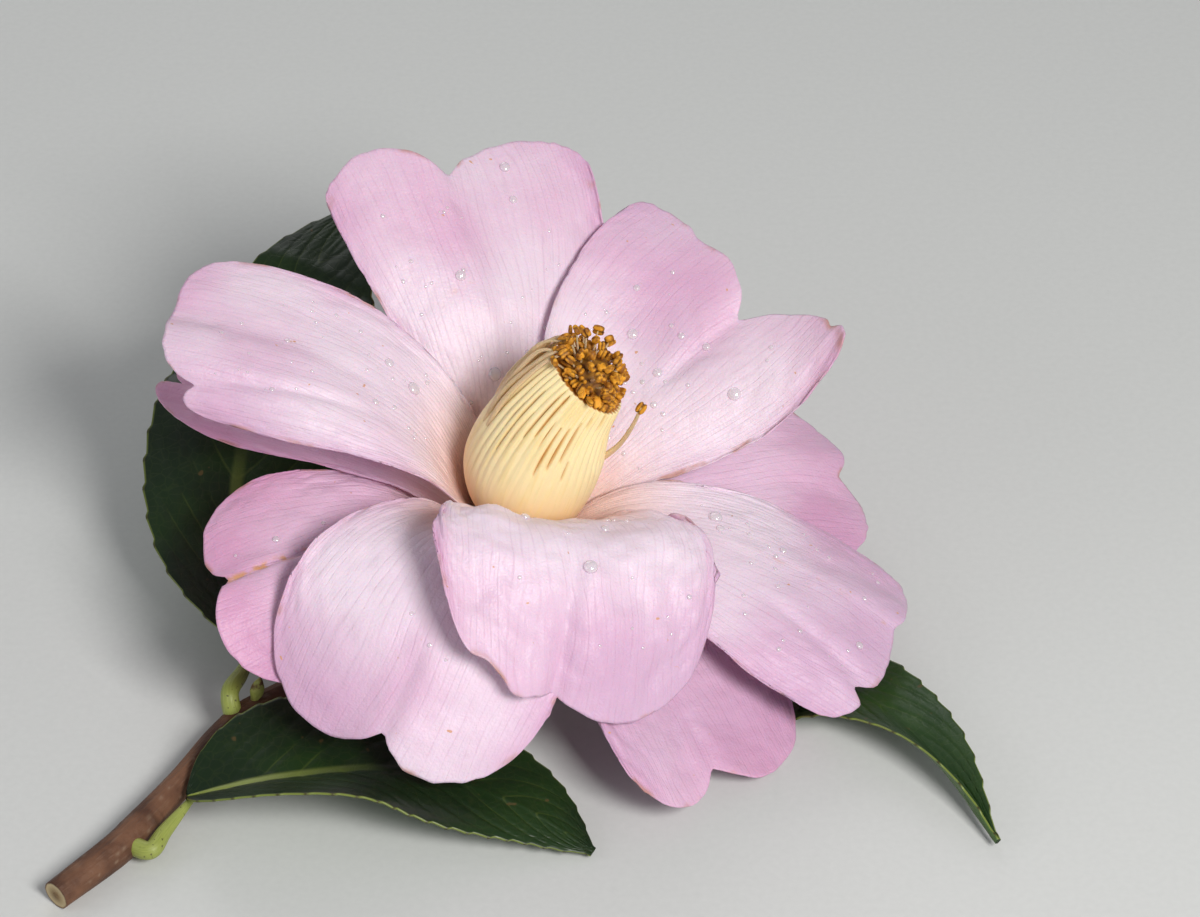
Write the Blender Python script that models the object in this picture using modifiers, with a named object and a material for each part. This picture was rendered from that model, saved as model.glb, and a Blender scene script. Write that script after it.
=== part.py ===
"""A cut single camellia: one open bloom on a woody twig with three leaves, lying on a surface.

Every length below is in millimetres and every angle in degrees, until the finished points are
turned into Blender's metres. A petal or a leaf is a sheet that is swept along a spine: its rows
run from base to tip, and its columns fan out from the spine to both margins. The petals are then
laid under one another, from the innermost to the outermost, so that none runs into the next.
"""

from dataclasses import dataclass
from math import pi

import bmesh
import bpy
import numpy as np
from mathutils import Euler, Matrix, Vector

MM = 0.001

# ---------------------------------------------------------------- driving dimensions
FLOWER_HEIGHT = 20.0  # where the petals are seated, above the surface
FLOWER_LEAN = 15.0  # the bloom's axis leans this far from upright, towards +X
SEAT_RADIUS = 6.3  # of the ring on which the petals are seated
PETAL_THICK = 0.7
PETAL_ROWS = 17  # points from base to tip
PETAL_COLUMNS = 13  # points from margin to margin
SEPAL_ROWS = 8
SEPAL_COLUMNS = 7
SHEET_GAP = 1.5  # least distance between the middles of two petals
CREASE_WIDE = 0.13  # of the valley below a petal's notch, as a share of its half width
REACH = 9.0  # how far above and below a petal its neighbours are looked for
EDGE_REACH = 3.0  # the same, seen from a neighbour's points

COLUMN_FOOT = 5.2  # radius of the stamen column where it stands
COLUMN_TOP = 31.0
COLUMN_SIDES = 30
COLUMN_SLANT = 0.5  # how much the column's top slopes down towards +X
GROOVE = 0.08  # depth of the grooves near the column's top, as a share of its radius
GROOVES = 15
ANTHER_DOME = (4.9, 4.2)  # radius and height of the core that carries the anthers
ANTHER_COUNT = 38
ANTHER_SPREAD = (8, 84)  # angles from the dome's axis between which the anthers stand
ANTHER_TILT = 0.4  # how far an anther may point away from straight out
GOLDEN_ANGLE = 2.39996
ANTHER_SIZE = (0.75, 0.75, 1.15)  # half its width, depth and length
SEPAL_THICK = 0.9

LEAF_THICK = 0.7
LEAF_TEETH = 20  # on each margin
LEAF_TOOTH = 0.5  # how far a tooth stands out
PETIOLE_RADIUS = 1.3
SEAT_GAP = 0.35  # left where one piece is carried by another

PLACE = (-1.23, 1.75, -0.03)  # moves the finished whole so that its box stands centred over the origin

SPINE_STEPS = 120  # straight steps in which a spine is added up
ARC_STEPS = 10  # straight steps in which half a cross section is added up


@dataclass
class Petal:
    """One petal, in the bloom's own frame: its axis is +Z, and the seat is at height 0.

    A tuple gives a value at even steps from the base to the tip. t runs from -1, the clockwise
    margin seen from above, to 1, the anticlockwise margin.
    """

    heading: float  # the way it points, anticlockwise from +X
    length: float
    half_width: tuple  # of the anticlockwise half and of the clockwise half
    lift: tuple  # the spine's slope above the horizontal
    turn: tuple = (0, 0)  # how far the spine has turned anticlockwise from its heading
    roll: tuple = (0, 0)  # how far the blade is rolled, anticlockwise margin upwards
    bend_left: tuple = (0, 0)  # how far the anticlockwise half bends up by its margin
    bend_right: tuple = (0, 0)  # the same for the clockwise half
    curl_left: tuple = (0, 0)  # further bend, all of it outside of curl_from
    curl_right: tuple = (0, 0)
    curl_from: tuple = (0.5, 0.5)  # where that bend starts, from the spine at 0 to the margin at 1
    seat: tuple = (SEAT_RADIUS, 0.0)  # radius and height of its base
    claw: float = 0.22  # width of the base as a share of the full width
    shoulder: float = 0.55  # how far along the spine it is widest
    square: float = 2.0  # 2 gives a round tip, and more a squarer one
    taper: float = 0.8  # how slim it is below the shoulder: more is slimmer
    notch: float = 0.08  # depth of the notch in the tip, as a share of the length
    notch_at: float = 0.0  # where across the tip the notch is
    notch_wide: float = 0.22
    skew: float = 0.0  # makes one side longer: 0.1 adds a tenth at t = 1
    crease: float = 0.0  # depth of the valley that runs down from the notch
    ruffle: float = 0.8  # height of the waves in the margin
    waves: float = 5.0  # how many waves there are along the margin
    phase: float = 0.0


def along(values, s):
    """The value at s, from 0 to 1, on a smooth curve through values at even steps."""
    v = np.asarray(values, float)
    last = len(v) - 1
    x = np.clip(np.asarray(s, float), 0, 1) * last
    i = np.minimum(x.astype(int), last - 1)
    f = x - i
    slope = np.gradient(v)
    a, b = v[i], v[i + 1]
    ma, mb = slope[i], slope[i + 1]
    return (
        a * (2 * f**3 - 3 * f**2 + 1)
        + ma * (f**3 - 2 * f**2 + f)
        + b * (3 * f**2 - 2 * f**3)
        + mb * (f**3 - f**2)
    )


def unit_step(x):
    """0 below 0, 1 above 1, and a smooth rise between."""
    x = np.clip(x, 0, 1)
    return x * x * (3 - 2 * x)


def spine_of(petal):
    """The spine's points and its frame: tangent, left and up vectors, at even steps."""
    s = np.linspace(0, 1, SPINE_STEPS + 1)
    lift = np.radians(along(petal.lift, s))
    way = np.radians(petal.heading + along(petal.turn, s))
    roll = np.radians(along(petal.roll, s))
    tangent = np.stack([np.cos(lift) * np.cos(way), np.cos(lift) * np.sin(way), np.sin(lift)], -1)
    left = np.stack([-np.sin(way), np.cos(way), 0 * way], -1)
    up = np.cross(tangent, left)
    c, k = np.cos(roll)[:, None], np.sin(roll)[:, None]
    left, up = left * c + up * k, up * c - left * k
    step = petal.length / SPINE_STEPS
    middle = (tangent[1:] + tangent[:-1]) / 2 * step
    radius, height = petal.seat
    start = np.array([radius * np.cos(way[0]), radius * np.sin(way[0]), height])
    points = start + np.vstack([np.zeros(3), np.cumsum(middle, 0)])
    return s, points, tangent, left, up


def petal_reach(petal, t):
    """How far along the spine each column goes, which is the outline of the tip."""
    side = petal.shoulder
    power = petal.square
    round_tip = side + (1 - side) * np.clip(1 - np.abs(t) ** power, 0, 1) ** (1 / power)
    from_notch = np.sqrt((t - petal.notch_at) ** 2 + 0.02**2)
    cut = petal.notch * np.exp(-from_notch / petal.notch_wide)
    return round_tip * (1 - cut) * (1 + petal.skew * t)


def petal_points(petal, s, t):
    """The points of the petal's middle surface at s (base to tip) and t (across)."""
    run, points, _, left, up = spine_of(petal)
    d = s * petal_reach(petal, t)
    width = petal.claw + (1 - petal.claw) * np.sin(pi / 2 * np.clip(d / petal.shoulder, 0, 1)) ** petal.taper
    side = np.abs(t)
    leftward = t > 0
    width = width * np.where(leftward, *petal.half_width)
    bend = np.radians(np.where(leftward, along(petal.bend_left, d), along(petal.bend_right, d)))
    curl = np.radians(np.where(leftward, along(petal.curl_left, d), along(petal.curl_right, d)))
    curl_from = np.where(leftward, *petal.curl_from)
    out, rise = np.zeros_like(d), np.zeros_like(d)
    for k in range(ARC_STEPS):
        here = side * (k + 0.5) / ARC_STEPS
        angle = bend * here + curl * unit_step((here - curl_from) / (1 - curl_from))
        out += np.cos(angle) * side / ARC_STEPS
        rise += np.sin(angle) * side / ARC_STEPS
    out *= np.sign(t) * width
    rise *= width
    valley = np.exp(-(((t - petal.notch_at) / CREASE_WIDE) ** 2)) * unit_step(s * 1.4 - 0.4)
    rim = 1 - (1 - s**4) * (1 - side**4)
    around = np.arctan2(t, s - 0.35)
    wave = np.sin(petal.waves * around + np.radians(petal.phase))
    rise = rise - petal.crease * valley + petal.ruffle * rim * wave * unit_step(d * 2)
    at = [np.interp(d, run, points[:, i]) for i in range(3)]
    lv = [np.interp(d, run, left[:, i]) for i in range(3)]
    uv = [np.interp(d, run, up[:, i]) for i in range(3)]
    return np.stack([at[i] + out * lv[i] + rise * uv[i] for i in range(3)], -1)


# From the innermost to the outermost: each lies under all that come before it.
PETALS = {
    "petal_front": Petal(
        heading=283, length=56.5, half_width=(21, 23), lift=(84, 36, -43, -57), square=2.4, shoulder=0.55,
        bend_left=(30, 0, -10, 0), bend_right=(30, 0, -10, 0), notch=0.07, notch_at=-0.2, skew=0.04,
    ),
    "petal_right": Petal(
        heading=-14, length=58, half_width=(15, 21), lift=(50, 10, -6, -20), shoulder=0.8, square=3.5,
        taper=0.9, bend_left=(40, 10, -10, -10), bend_right=(30, 0, -35, -50), notch=0.03, notch_at=0.0,
    ),
    "petal_left": Petal(
        heading=172, length=61, half_width=(16, 16), lift=(60, 28, 5, -12), square=3.2, shoulder=0.75,
        bend_left=(50, 10, -10, -20), bend_right=(50, 30, 10, 0), notch=0.1, notch_at=0.7, notch_wide=0.1,
        curl_left=(0, -30, -60, -70), curl_from=(0.3, 0.5),
    ),
    "petal_back_right": Petal(
        heading=48, length=51, half_width=(24.5, 20), lift=(65, 42, 31, 23), turn=(0, 0, -3, -5), square=4,
        shoulder=0.85, taper=1.2, bend_left=(60, 50, 30, 10), bend_right=(10, -30, -20, 30), notch=0.18,
        notch_at=-0.1, skew=-0.04,
    ),
    "petal_back": Petal(
        heading=114, length=60, half_width=(21, 22), lift=(70, 42, 28, 18), turn=(0, 0, 4, 10), square=3.2,
        shoulder=0.88, taper=1.3, bend_left=(30, -10, -30, -30), bend_right=(50, 30, 20, 10), notch=0.14,
        notch_at=0.05, notch_wide=0.3, skew=0.08,
    ),
    "petal_front_left": Petal(
        heading=246, length=57, half_width=(21.5, 22), lift=(45, 8, -48, -60), shoulder=0.65, square=2.3,
        bend_left=(30, -10, -20, -20), bend_right=(30, 0, -10, -20), notch=0.12, notch_at=0.05,
    ),
    "petal_outer_right": Petal(
        heading=21, length=53, half_width=(20, 18), lift=(30, 18, 0, -20), shoulder=0.7,
        bend_left=(20, 10, 0, 0), bend_right=(20, 0, -10, -10), notch=0.1, seat=(7.5, -2.5),
    ),
    "petal_outer_front": Petal(
        heading=309, length=50, half_width=(21, 16), lift=(20, 0, -20, -24), shoulder=0.7, square=2.5,
        bend_left=(20, 10, 0, 0), bend_right=(20, 10, 0, 0), notch=0.12, seat=(7.5, -2.5),
    ),
    "petal_outer_back_left": Petal(
        heading=164, length=56, half_width=(10.5, 17), lift=(35, 6, -6, -16), shoulder=0.7,
        bend_left=(20, 0, -10, 0), bend_right=(20, 10, 0, 0), notch=0.1, seat=(7.5, -2.5),
    ),
    "petal_outer_left": Petal(
        heading=207, length=49, half_width=(20, 17), lift=(30, 4, -14, -26), shoulder=0.7, skew=0.1,
        bend_left=(20, 0, -20, -50), bend_right=(20, 0, -10, 0), notch=0.12, seat=(7.5, -2.5),
    ),
    "petal_outer_back": Petal(
        heading=95, length=50, half_width=(20, 20), lift=(12, -13, -35, -45), shoulder=0.7,
        bend_left=(20, 10, 0, 0), bend_right=(20, 10, 0, 0), notch=0.1, seat=(7.5, -2.5),
    ),
}
SEPALS = {
    f"sepal_{k}": Petal(
        heading=36 + 72 * k, length=11, half_width=(5.5, 5.5), lift=(20, 12, 6, 0), claw=0.5, notch=0,
        bend_left=(10, 10, 20, 20), bend_right=(10, 10, 20, 20), seat=(5.5, -4.6), ruffle=0,
    )
    for k in range(5)
}


@dataclass
class Leaf:
    """One leaf, in the world's frame. A tuple gives a value at even steps from base to tip."""

    route: tuple  # points of the midrib
    petiole: tuple  # points of the stalk, from the twig to the blade
    half_width: tuple  # of the half on the left of the midrib and of the half on its right
    fold_left: tuple  # how far each half is raised, next to the midrib
    fold_right: tuple
    curl_left: tuple = (0, 0)  # further rise towards the margin
    curl_right: tuple = (0, 0)
    fullest: float = 0.8  # 1 puts the widest place in the middle, and less nearer the base


LEAVES = {
    "leaf_left": Leaf(
        route=((-41, -16, 7), (-45, 3, 14), (-43, 24, 23), (-36, 44, 31), (-24, 60, 37)),
        petiole=((-44.6, -26.9, 7.1), (-43.9, -25.5, 8.0), (-42.5, -20.5, 7.4), (-41, -15, 7.3)),
        half_width=(15.5, 18), fold_left=(15, 10, 5, 5), fold_right=(15, 10, 5, 5),
        curl_left=(0, -20, -20, 0), curl_right=(0, -20, -20, 0), fullest=0.95,
    ),
    "leaf_lower": Leaf(
        route=((-49, -45, 5), (-34, -44, 8), (-17, -42.5, 8), (-1, -46.5, 5.5), (11, -52.5, 1.2)),
        petiole=((-55.4, -53.5, 2.6), (-54, -53.8, 2.9), (-52, -50.5, 3.6), (-48.5, -45.5, 5)),
        half_width=(16, 12), fold_left=(20, 5, 0, 0), fold_right=(35, 30, 0, -10),
        fullest=0.68,
    ),
    "leaf_right": Leaf(
        route=((12, -6, 7), (30, -9, 5.5), (47, -18, 4.5), (60, -32, 4.4), (70.5, -51, 1.6)),
        petiole=((-4, -4.5, 6.8), (4, -5.5, 6.8), (13, -6.2, 7)),
        half_width=(9.5, 8), fold_left=(10, 5, 0, 10, 50), fold_right=(10, 5, -5, 40, 100),
    ),
}
TWIG = (
    (-67, -62.5, 2.4), (-58, -52, 2.7), (-50.5, -40, 3.3), (-43, -28, 4), (-36, -22.5, 5), (-22, -12, 5.3),
    (-11, -4.5, 5.4), (-5, -1, 6.8), (-2.9, -0.05, 9), (-2.47, 0, 10.75),
)
TWIG_RADII = (2.35, 2.6, 2.25, 2.45, 2.1, 2.0, 1.95, 2.0, 2.2, 2.5)
BUD = (-39.6, -25.2, 9.0)
BUD_SIZE = (1.1, 1.1, 2.1)
STRAY_STAMEN = ((7, -1, 14.5), (9.8, -1.5, 19.5), (10.9, -1.8, 24), (11.3, -1.8, 28))


def bloom_to_world(points):
    """From the bloom's own frame to the world, still in millimetres."""
    a = np.radians(FLOWER_LEAN)
    x, y, z = points[..., 0], points[..., 1], points[..., 2]
    return np.stack([x * np.cos(a) + z * np.sin(a), y, z * np.cos(a) - x * np.sin(a) + FLOWER_HEIGHT], -1)


def unit(vectors):
    """The vectors at length 1."""
    return vectors / np.maximum(np.linalg.norm(vectors, axis=-1, keepdims=True), 1e-9)


def column_radius(z):
    """The stamen column's radius at a height: a barrel that draws in towards its top."""
    return along((COLUMN_FOOT, 8.6, 10.2, 10.2, 9.0, 7.4, 6.2), z / COLUMN_TOP)


def column_centre(z):
    """How far the column's middle lies towards +X at a height, because it leans and bows."""
    return along((0, -1.2, -1.6, -1.3, -0.5, 0.8, 2.4), z / COLUMN_TOP)


def column_surface(angle, z):
    """A point of the stamen column, whose top slopes."""
    r = column_radius(z)
    x = column_centre(z) + r * np.cos(angle)
    top = unit_step((z / COLUMN_TOP - 0.4) / 0.6)
    return np.stack([x, r * np.sin(angle), z - COLUMN_SLANT * x * top], -1)


def sheet_triangles(shape):
    """The three point numbers of each triangle of a grid."""
    number = np.arange(shape[0] * shape[1]).reshape(shape[:2])
    a, b, c, d = (n.ravel() for n in (number[:-1, :-1], number[1:, :-1], number[1:, 1:], number[:-1, 1:]))
    return np.concatenate([np.stack([a, b, c], 1), np.stack([a, c, d], 1)])


def crossing_heights(points, normals, reach, sheet, triangles):
    """How far along its normal each point meets each triangle of a sheet: nan where it doesn't."""
    corners = sheet.reshape(-1, 3)[triangles]
    side_1, side_2 = corners[:, 1] - corners[:, 0], corners[:, 2] - corners[:, 0]
    cross = np.cross(normals[:, None], side_2[None])
    scale = (cross * side_1).sum(-1)
    scale = np.where(np.abs(scale) < 1e-9, np.nan, scale)
    offset = points[:, None] - corners[None, :, 0]
    u = (offset * cross).sum(-1) / scale
    turned = np.cross(offset, side_1[None])
    v = (normals[:, None] * turned).sum(-1) / scale
    height = (side_2 * turned).sum(-1) / scale
    inside = (u >= -0.02) & (v >= -0.02) & (u + v <= 1.02) & (np.abs(height) < reach)
    return np.where(inside, height, np.nan)


def sheet_normals(grid):
    """The direction that is up from the sheet at each of its points."""
    return unit(np.cross(np.gradient(grid, axis=0), np.gradient(grid, axis=1)))


def spread(push):
    """The push, carried on to the points around it so that it dies away smoothly."""
    for share in (0.9, 0.85, 0.75, 0.6):
        padded = np.pad(push, 1, mode="edge")
        rows, columns = push.shape
        around = [padded[i : i + rows, j : j + columns] for i in range(3) for j in range(3)]
        push = np.maximum(push, share * np.max(around, 0) * 0.5 + share * np.mean(around, 0) * 0.5)
    return push


def laid_under(grid, above):
    """The sheet, pushed down wherever it would come too close to those above it.

    Both sheets' points look for the other sheet: those of the lower one upwards, and those of the
    upper one downwards, so that an edge between points doesn't slip through.
    """
    triangles = sheet_triangles(grid.shape)
    for _ in range(4):
        normals = sheet_normals(grid)
        push = np.zeros(normals.shape[:2])
        for other in above:
            args = other, sheet_triangles(other.shape)
            height = crossing_heights(grid.reshape(-1, 3), normals.reshape(-1, 3), REACH, *args)
            wanted = np.nan_to_num(SHEET_GAP - height).max(1)
            facing = sheet_normals(other).reshape(-1, 3)
            height = crossing_heights(other.reshape(-1, 3), facing, EDGE_REACH, grid, triangles)
            by_triangle = np.nan_to_num(SHEET_GAP + height).max(0)
            np.maximum.at(wanted, triangles.ravel(), np.repeat(by_triangle, 3))
            push = np.maximum(push, wanted.reshape(push.shape))
        grid = grid - normals * spread(push)[..., None]
    return grid


def sheet_parameters(rows, columns):
    """s and t of a petal's points: even from base to tip, and closer together by the margins."""
    s = np.linspace(0, 1, rows)
    t = np.sin(np.linspace(-pi / 2, pi / 2, columns))
    return np.meshgrid(s, t, indexing="ij")


def settled_petals():
    """Every petal and sepal as a grid of points in the bloom's frame, each under the last."""
    angle, z = np.meshgrid(np.linspace(0, 2 * pi, 25), np.linspace(-1, COLUMN_TOP, 12))
    above = [column_surface(angle, z)]
    grids = {}
    for name, petal in (PETALS | SEPALS).items():
        rows, columns = (PETAL_ROWS, PETAL_COLUMNS) if name in PETALS else (SEPAL_ROWS, SEPAL_COLUMNS)
        s, t = sheet_parameters(rows, columns)
        grids[name] = laid_under(petal_points(petal, s, t), above)
        above.append(grids[name])
    return grids


def leaf_points(leaf, s, t):
    """The points of a leaf's middle surface at s (base to tip) and t (across)."""
    at = [np.array([p[i] for p in leaf.route]) for i in range(3)]
    here = np.stack([along(axis, s) for axis in at], -1)
    ahead = np.stack([along(axis, s + 0.01) - along(axis, s - 0.01) for axis in at], -1)
    tangent = unit(ahead)
    left = unit(np.cross(np.array([0.0, 0.0, 1.0]), tangent))
    up = np.cross(tangent, left)
    side = np.abs(t)
    leftward = t > 0
    saw = np.abs(2 * np.mod(s * LEAF_TEETH, 1) - 1) * LEAF_TOOTH
    width = np.where(leftward, *leaf.half_width) * np.sin(pi * np.clip(s, 0, 1) ** leaf.fullest) ** 0.8
    width = np.maximum(width, 0.8) + saw * (side > 0.99) * np.sin(pi * s) ** 0.3
    fold = np.radians(np.where(leftward, along(leaf.fold_left, s), along(leaf.fold_right, s)))
    curl = np.radians(np.where(leftward, along(leaf.curl_left, s), along(leaf.curl_right, s)))
    out, rise = np.zeros_like(s), np.zeros_like(s)
    for k in range(ARC_STEPS):
        angle = fold + curl * side * (k + 0.5) / ARC_STEPS
        out += np.cos(angle) * side / ARC_STEPS
        rise += np.sin(angle) * side / ARC_STEPS
    out *= np.sign(t) * width
    return here + out[..., None] * left + (rise * width)[..., None] * up


# ---------------------------------------------------------------- Blender pieces
def collection(name):
    """A new collection in the scene."""
    made = bpy.data.collections.new(name)
    bpy.context.scene.collection.children.link(made)
    return made


def material(name, colour, roughness):
    """A plain finish: base colour and roughness, and no metal in anything here."""
    made = bpy.data.materials.new(name)
    made.use_nodes = True
    shader = made.node_tree.nodes["Principled BSDF"]
    shader.inputs["Base Color"].default_value = (*colour, 1.0)
    shader.inputs["Roughness"].default_value = roughness
    shader.inputs["Metallic"].default_value = 0.0
    return made


def new_object(name, data, home, finish=None):
    """An object for the mesh or curve, in the collection."""
    made = bpy.data.objects.new(name, data)
    home.objects.link(made)
    if finish:
        data.materials.clear()
        data.materials.append(finish)
    return made


def evaluated_mesh(thing, name):
    """A mesh copy of an object with its modifiers or curve bevel worked out, and its caps welded."""
    graph = bpy.context.evaluated_depsgraph_get()
    mesh = bpy.data.meshes.new_from_object(thing.evaluated_get(graph))
    mesh.name = name
    bm = bmesh.new()
    bm.from_mesh(mesh)
    bmesh.ops.remove_doubles(bm, verts=bm.verts, dist=0.00001)
    bmesh.ops.recalc_face_normals(bm, faces=bm.faces)
    bm.to_mesh(mesh)
    bm.free()
    return mesh


def sheet(name, grid, thick, home, finish=None):
    """A grid of points as an open sheet that Solidify makes a blade of."""
    rows, columns = grid.shape[:2]
    bm = bmesh.new()
    bmesh.ops.create_grid(bm, x_segments=columns - 1, y_segments=rows - 1, size=1.0)
    for v in bm.verts:
        column = round((v.co.x + 1) / 2 * (columns - 1))
        row = round((v.co.y + 1) / 2 * (rows - 1))
        v.co = Vector(grid[row, column]) * MM
    bmesh.ops.triangulate(bm, faces=bm.faces, quad_method="SHORT_EDGE")
    mesh = bpy.data.meshes.new(name)
    bm.to_mesh(mesh)
    bm.free()
    mesh.shade_smooth()
    made = new_object(name, mesh, home, finish)
    solid = made.modifiers.new("Thickness", "SOLIDIFY")
    solid.thickness = thick * MM
    solid.offset = 0
    return made


def tube(name, route, radii, home, sides=8):
    """A mesh tube along a smooth curve through the route, with its own radius at each point."""
    count = 3 * len(route)
    s = np.linspace(0, 1, count)
    points = np.stack([along([p[i] for p in route], s) for i in range(3)], -1)
    curve = bpy.data.curves.new(name, "CURVE")
    curve.dimensions = "3D"
    curve.bevel_depth = MM
    curve.bevel_resolution = sides // 2 - 2
    curve.use_fill_caps = True
    spline = curve.splines.new("POLY")
    spline.points.add(count - 1)
    for point, place, radius in zip(spline.points, points, along(radii, s)):
        point.co = (*(place * MM), 1.0)
        point.radius = radius
    guide = new_object(name, curve, home)
    made = new_object(name, evaluated_mesh(guide, name), home)
    bpy.data.objects.remove(guide)
    made.name = name
    return made


def turned(name, profile, sides, home):
    """A closed round mesh: the profile (radius, height) runs down its outer side from the top."""
    outline = bpy.data.meshes.new(name)
    bm = bmesh.new()
    corners = [bm.verts.new((r * MM, 0, z * MM)) for r, z in profile]
    for a, b in zip(corners, corners[1:]):
        bm.edges.new((a, b))
    bm.to_mesh(outline)
    bm.free()
    guide = new_object(name, outline, home)
    screw = guide.modifiers.new("Turn", "SCREW")
    screw.steps = screw.render_steps = sides
    screw.use_merge_vertices = True
    screw.merge_threshold = 0.00001
    mesh = evaluated_mesh(guide, name)
    bpy.data.objects.remove(guide)
    return mesh


def ball(sides, rings, size, place, turn, home):
    """A small round body, stretched to its size, turned and placed."""
    bm = bmesh.new()
    bmesh.ops.create_uvsphere(bm, u_segments=sides, v_segments=rings, radius=MM)
    bm.transform(Matrix.LocRotScale(Vector(place) * MM, turn, Vector(size)))
    mesh = bpy.data.meshes.new("ball")
    bm.to_mesh(mesh)
    bm.free()
    return new_object("ball", mesh, home)


def joined(name, base, extras, home, finish, solver="EXACT"):
    """The base and the extras as one closed body, by one Boolean union."""
    group = bpy.data.collections.new(name + "_extras")
    bpy.context.scene.collection.children.link(group)
    for extra in extras:
        home.objects.unlink(extra)
        group.objects.link(extra)
    union = base.modifiers.new("Join", "BOOLEAN")
    union.operation = "UNION"
    union.solver = solver
    union.operand_type = "COLLECTION"
    union.collection = group
    mesh = evaluated_mesh(base, name)
    for extra in extras:
        bpy.data.objects.remove(extra)
    bpy.data.collections.remove(group)
    bpy.data.objects.remove(base)
    mesh.shade_smooth()
    return new_object(name, mesh, home, finish)


# ---------------------------------------------------------------- the flower's pieces
PINK = (0.86, 0.58, 0.72)
LEAF_GREEN = (0.03, 0.07, 0.025)


def make_petals(home):
    """Each petal is a thin blade laid under those nearer the middle of the bloom."""
    grids = settled_petals()
    finish = material("petal_pink", PINK, 0.55)
    for name in PETALS:
        sheet(name, bloom_to_world(grids[name]), PETAL_THICK, home, finish)
    return grids


def place_in_bloom(thing):
    """Move a mesh that was made in the bloom's own frame to where the bloom is."""
    lean = Matrix.Rotation(np.radians(FLOWER_LEAN), 4, "Y")
    thing.data.transform(Matrix.Translation((0, 0, FLOWER_HEIGHT * MM)) @ lean)


def make_calyx(grids, home):
    """The cone that carries the petals, with five sepals round its foot."""
    profile = (
        (0, -0.4), (5.6, -0.4), (6.5, -0.9), (7.0, -2.6), (7.0, -3.4), (6.4, -5.2), (4.2, -7.6), (2.6, -9.0),
        (0, -9.0),
    )
    cone = new_object("cone", turned("cone", profile, 20, home), home)
    sepals = []
    for name in SEPALS:
        blade = sheet(name, grids[name], SEPAL_THICK, home)
        sepals.append(new_object(name, evaluated_mesh(blade, name), home))
        bpy.data.objects.remove(blade)
    finish = material("calyx_green", (0.2, 0.22, 0.06), 0.6)
    place_in_bloom(joined("calyx", cone, sepals, home, finish, solver="MANIFOLD"))


def column_middle(z):
    """The middle of the stamen column at a height."""
    return (column_surface(0.0, z) + column_surface(pi, z)) / 2


def column_mesh(home):
    """The barrel of fused stamens, ribbed where its filaments come apart at the top."""
    heights = np.linspace(COLUMN_TOP, 0, 15)
    profile = ((0, COLUMN_TOP), *((1, z) for z in heights), (0, 0))
    mesh = turned("column", profile, COLUMN_SIDES, home)
    for v in mesh.vertices:
        x, y, z = v.co / MM
        angle = np.arctan2(y, x)
        groove = 0.5 - 0.5 * np.cos(angle * GROOVES)
        share = np.hypot(x, y) * (1 - GROOVE * groove * unit_step(z / COLUMN_TOP * 2.5 - 1))
        middle = column_middle(z)
        v.co = Vector(middle + (column_surface(angle, z) - middle) * share) * MM
    return mesh


def make_stamens(home):
    """The column, with one stray stamen that stands off its side."""
    base = new_object("column", column_mesh(home), home)
    stray = tube("stray", STRAY_STAMEN, (0.6, 0.5, 0.4, 0.4), home, sides=6)
    tip = ball(6, 4, ANTHER_SIZE, STRAY_STAMEN[-1], Euler((0, 0.6, 0)), home)
    finish = material("stamen_cream", (0.85, 0.68, 0.4), 0.5)
    place_in_bloom(joined("stamen_column", base, [stray, tip], home, finish))


def make_anthers(home):
    """Anthers in an even, seeded scatter over a small dome on the column's sloping top."""
    draw = np.random.default_rng(4)
    radius, height = ANTHER_DOME
    arc = np.linspace(0, pi / 2, 5)
    profile = (*((radius * np.sin(a), height * np.cos(a)) for a in arc), (0, 0))
    dome = new_object("dome", turned("dome", profile, 12, home), home)
    balls = []
    for k in range(ANTHER_COUNT):
        polar = np.radians(np.interp(np.sqrt((k + 0.5) / ANTHER_COUNT), (0, 1), ANTHER_SPREAD))
        way = k * GOLDEN_ANGLE
        out = Vector((np.sin(polar) * np.cos(way), np.sin(polar) * np.sin(way), np.cos(polar)))
        place = Vector((out.x * radius, out.y * radius, out.z * height)) + out * draw.uniform(0.1, 0.5)
        place.z = max(place.z, ANTHER_SIZE[2])
        turn = (out + Vector(draw.uniform(-ANTHER_TILT, ANTHER_TILT, 3))).to_track_quat("Z", "Y")
        balls.append(ball(6, 4, ANTHER_SIZE, place, turn, home))
    finish = material("anther_gold", (0.5, 0.25, 0.05), 0.55)
    made = joined("anthers", dome, balls, home, finish)
    slope = Matrix.Rotation(np.arctan(COLUMN_SLANT), 4, "Y")
    lift = Matrix.Translation((0, 0, SEAT_GAP * MM))
    made.data.transform(Matrix.Translation(Vector(column_middle(COLUMN_TOP)) * MM) @ slope @ lift)
    place_in_bloom(made)


def make_leaves(grids, home):
    """Each leaf is a toothed, folded blade under the petals, joined to its stalk."""
    finish = material("leaf_green", LEAF_GREEN, 0.35)
    above = [bloom_to_world(grids[name]) for name in PETALS]
    s, t = np.meshgrid(np.linspace(0, 1, 2 * LEAF_TEETH + 1), np.linspace(-1, 1, 5), indexing="ij")
    for name, leaf in LEAVES.items():
        blade = sheet("blade", laid_under(leaf_points(leaf, s, t), above), LEAF_THICK, home)
        base = new_object("blade_body", evaluated_mesh(blade, "blade_body"), home)
        bpy.data.objects.remove(blade)
        stalk = tube("stalk", leaf.petiole, (PETIOLE_RADIUS, PETIOLE_RADIUS, 0.8), home)
        joined(name, base, [stalk], home, finish)


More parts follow.
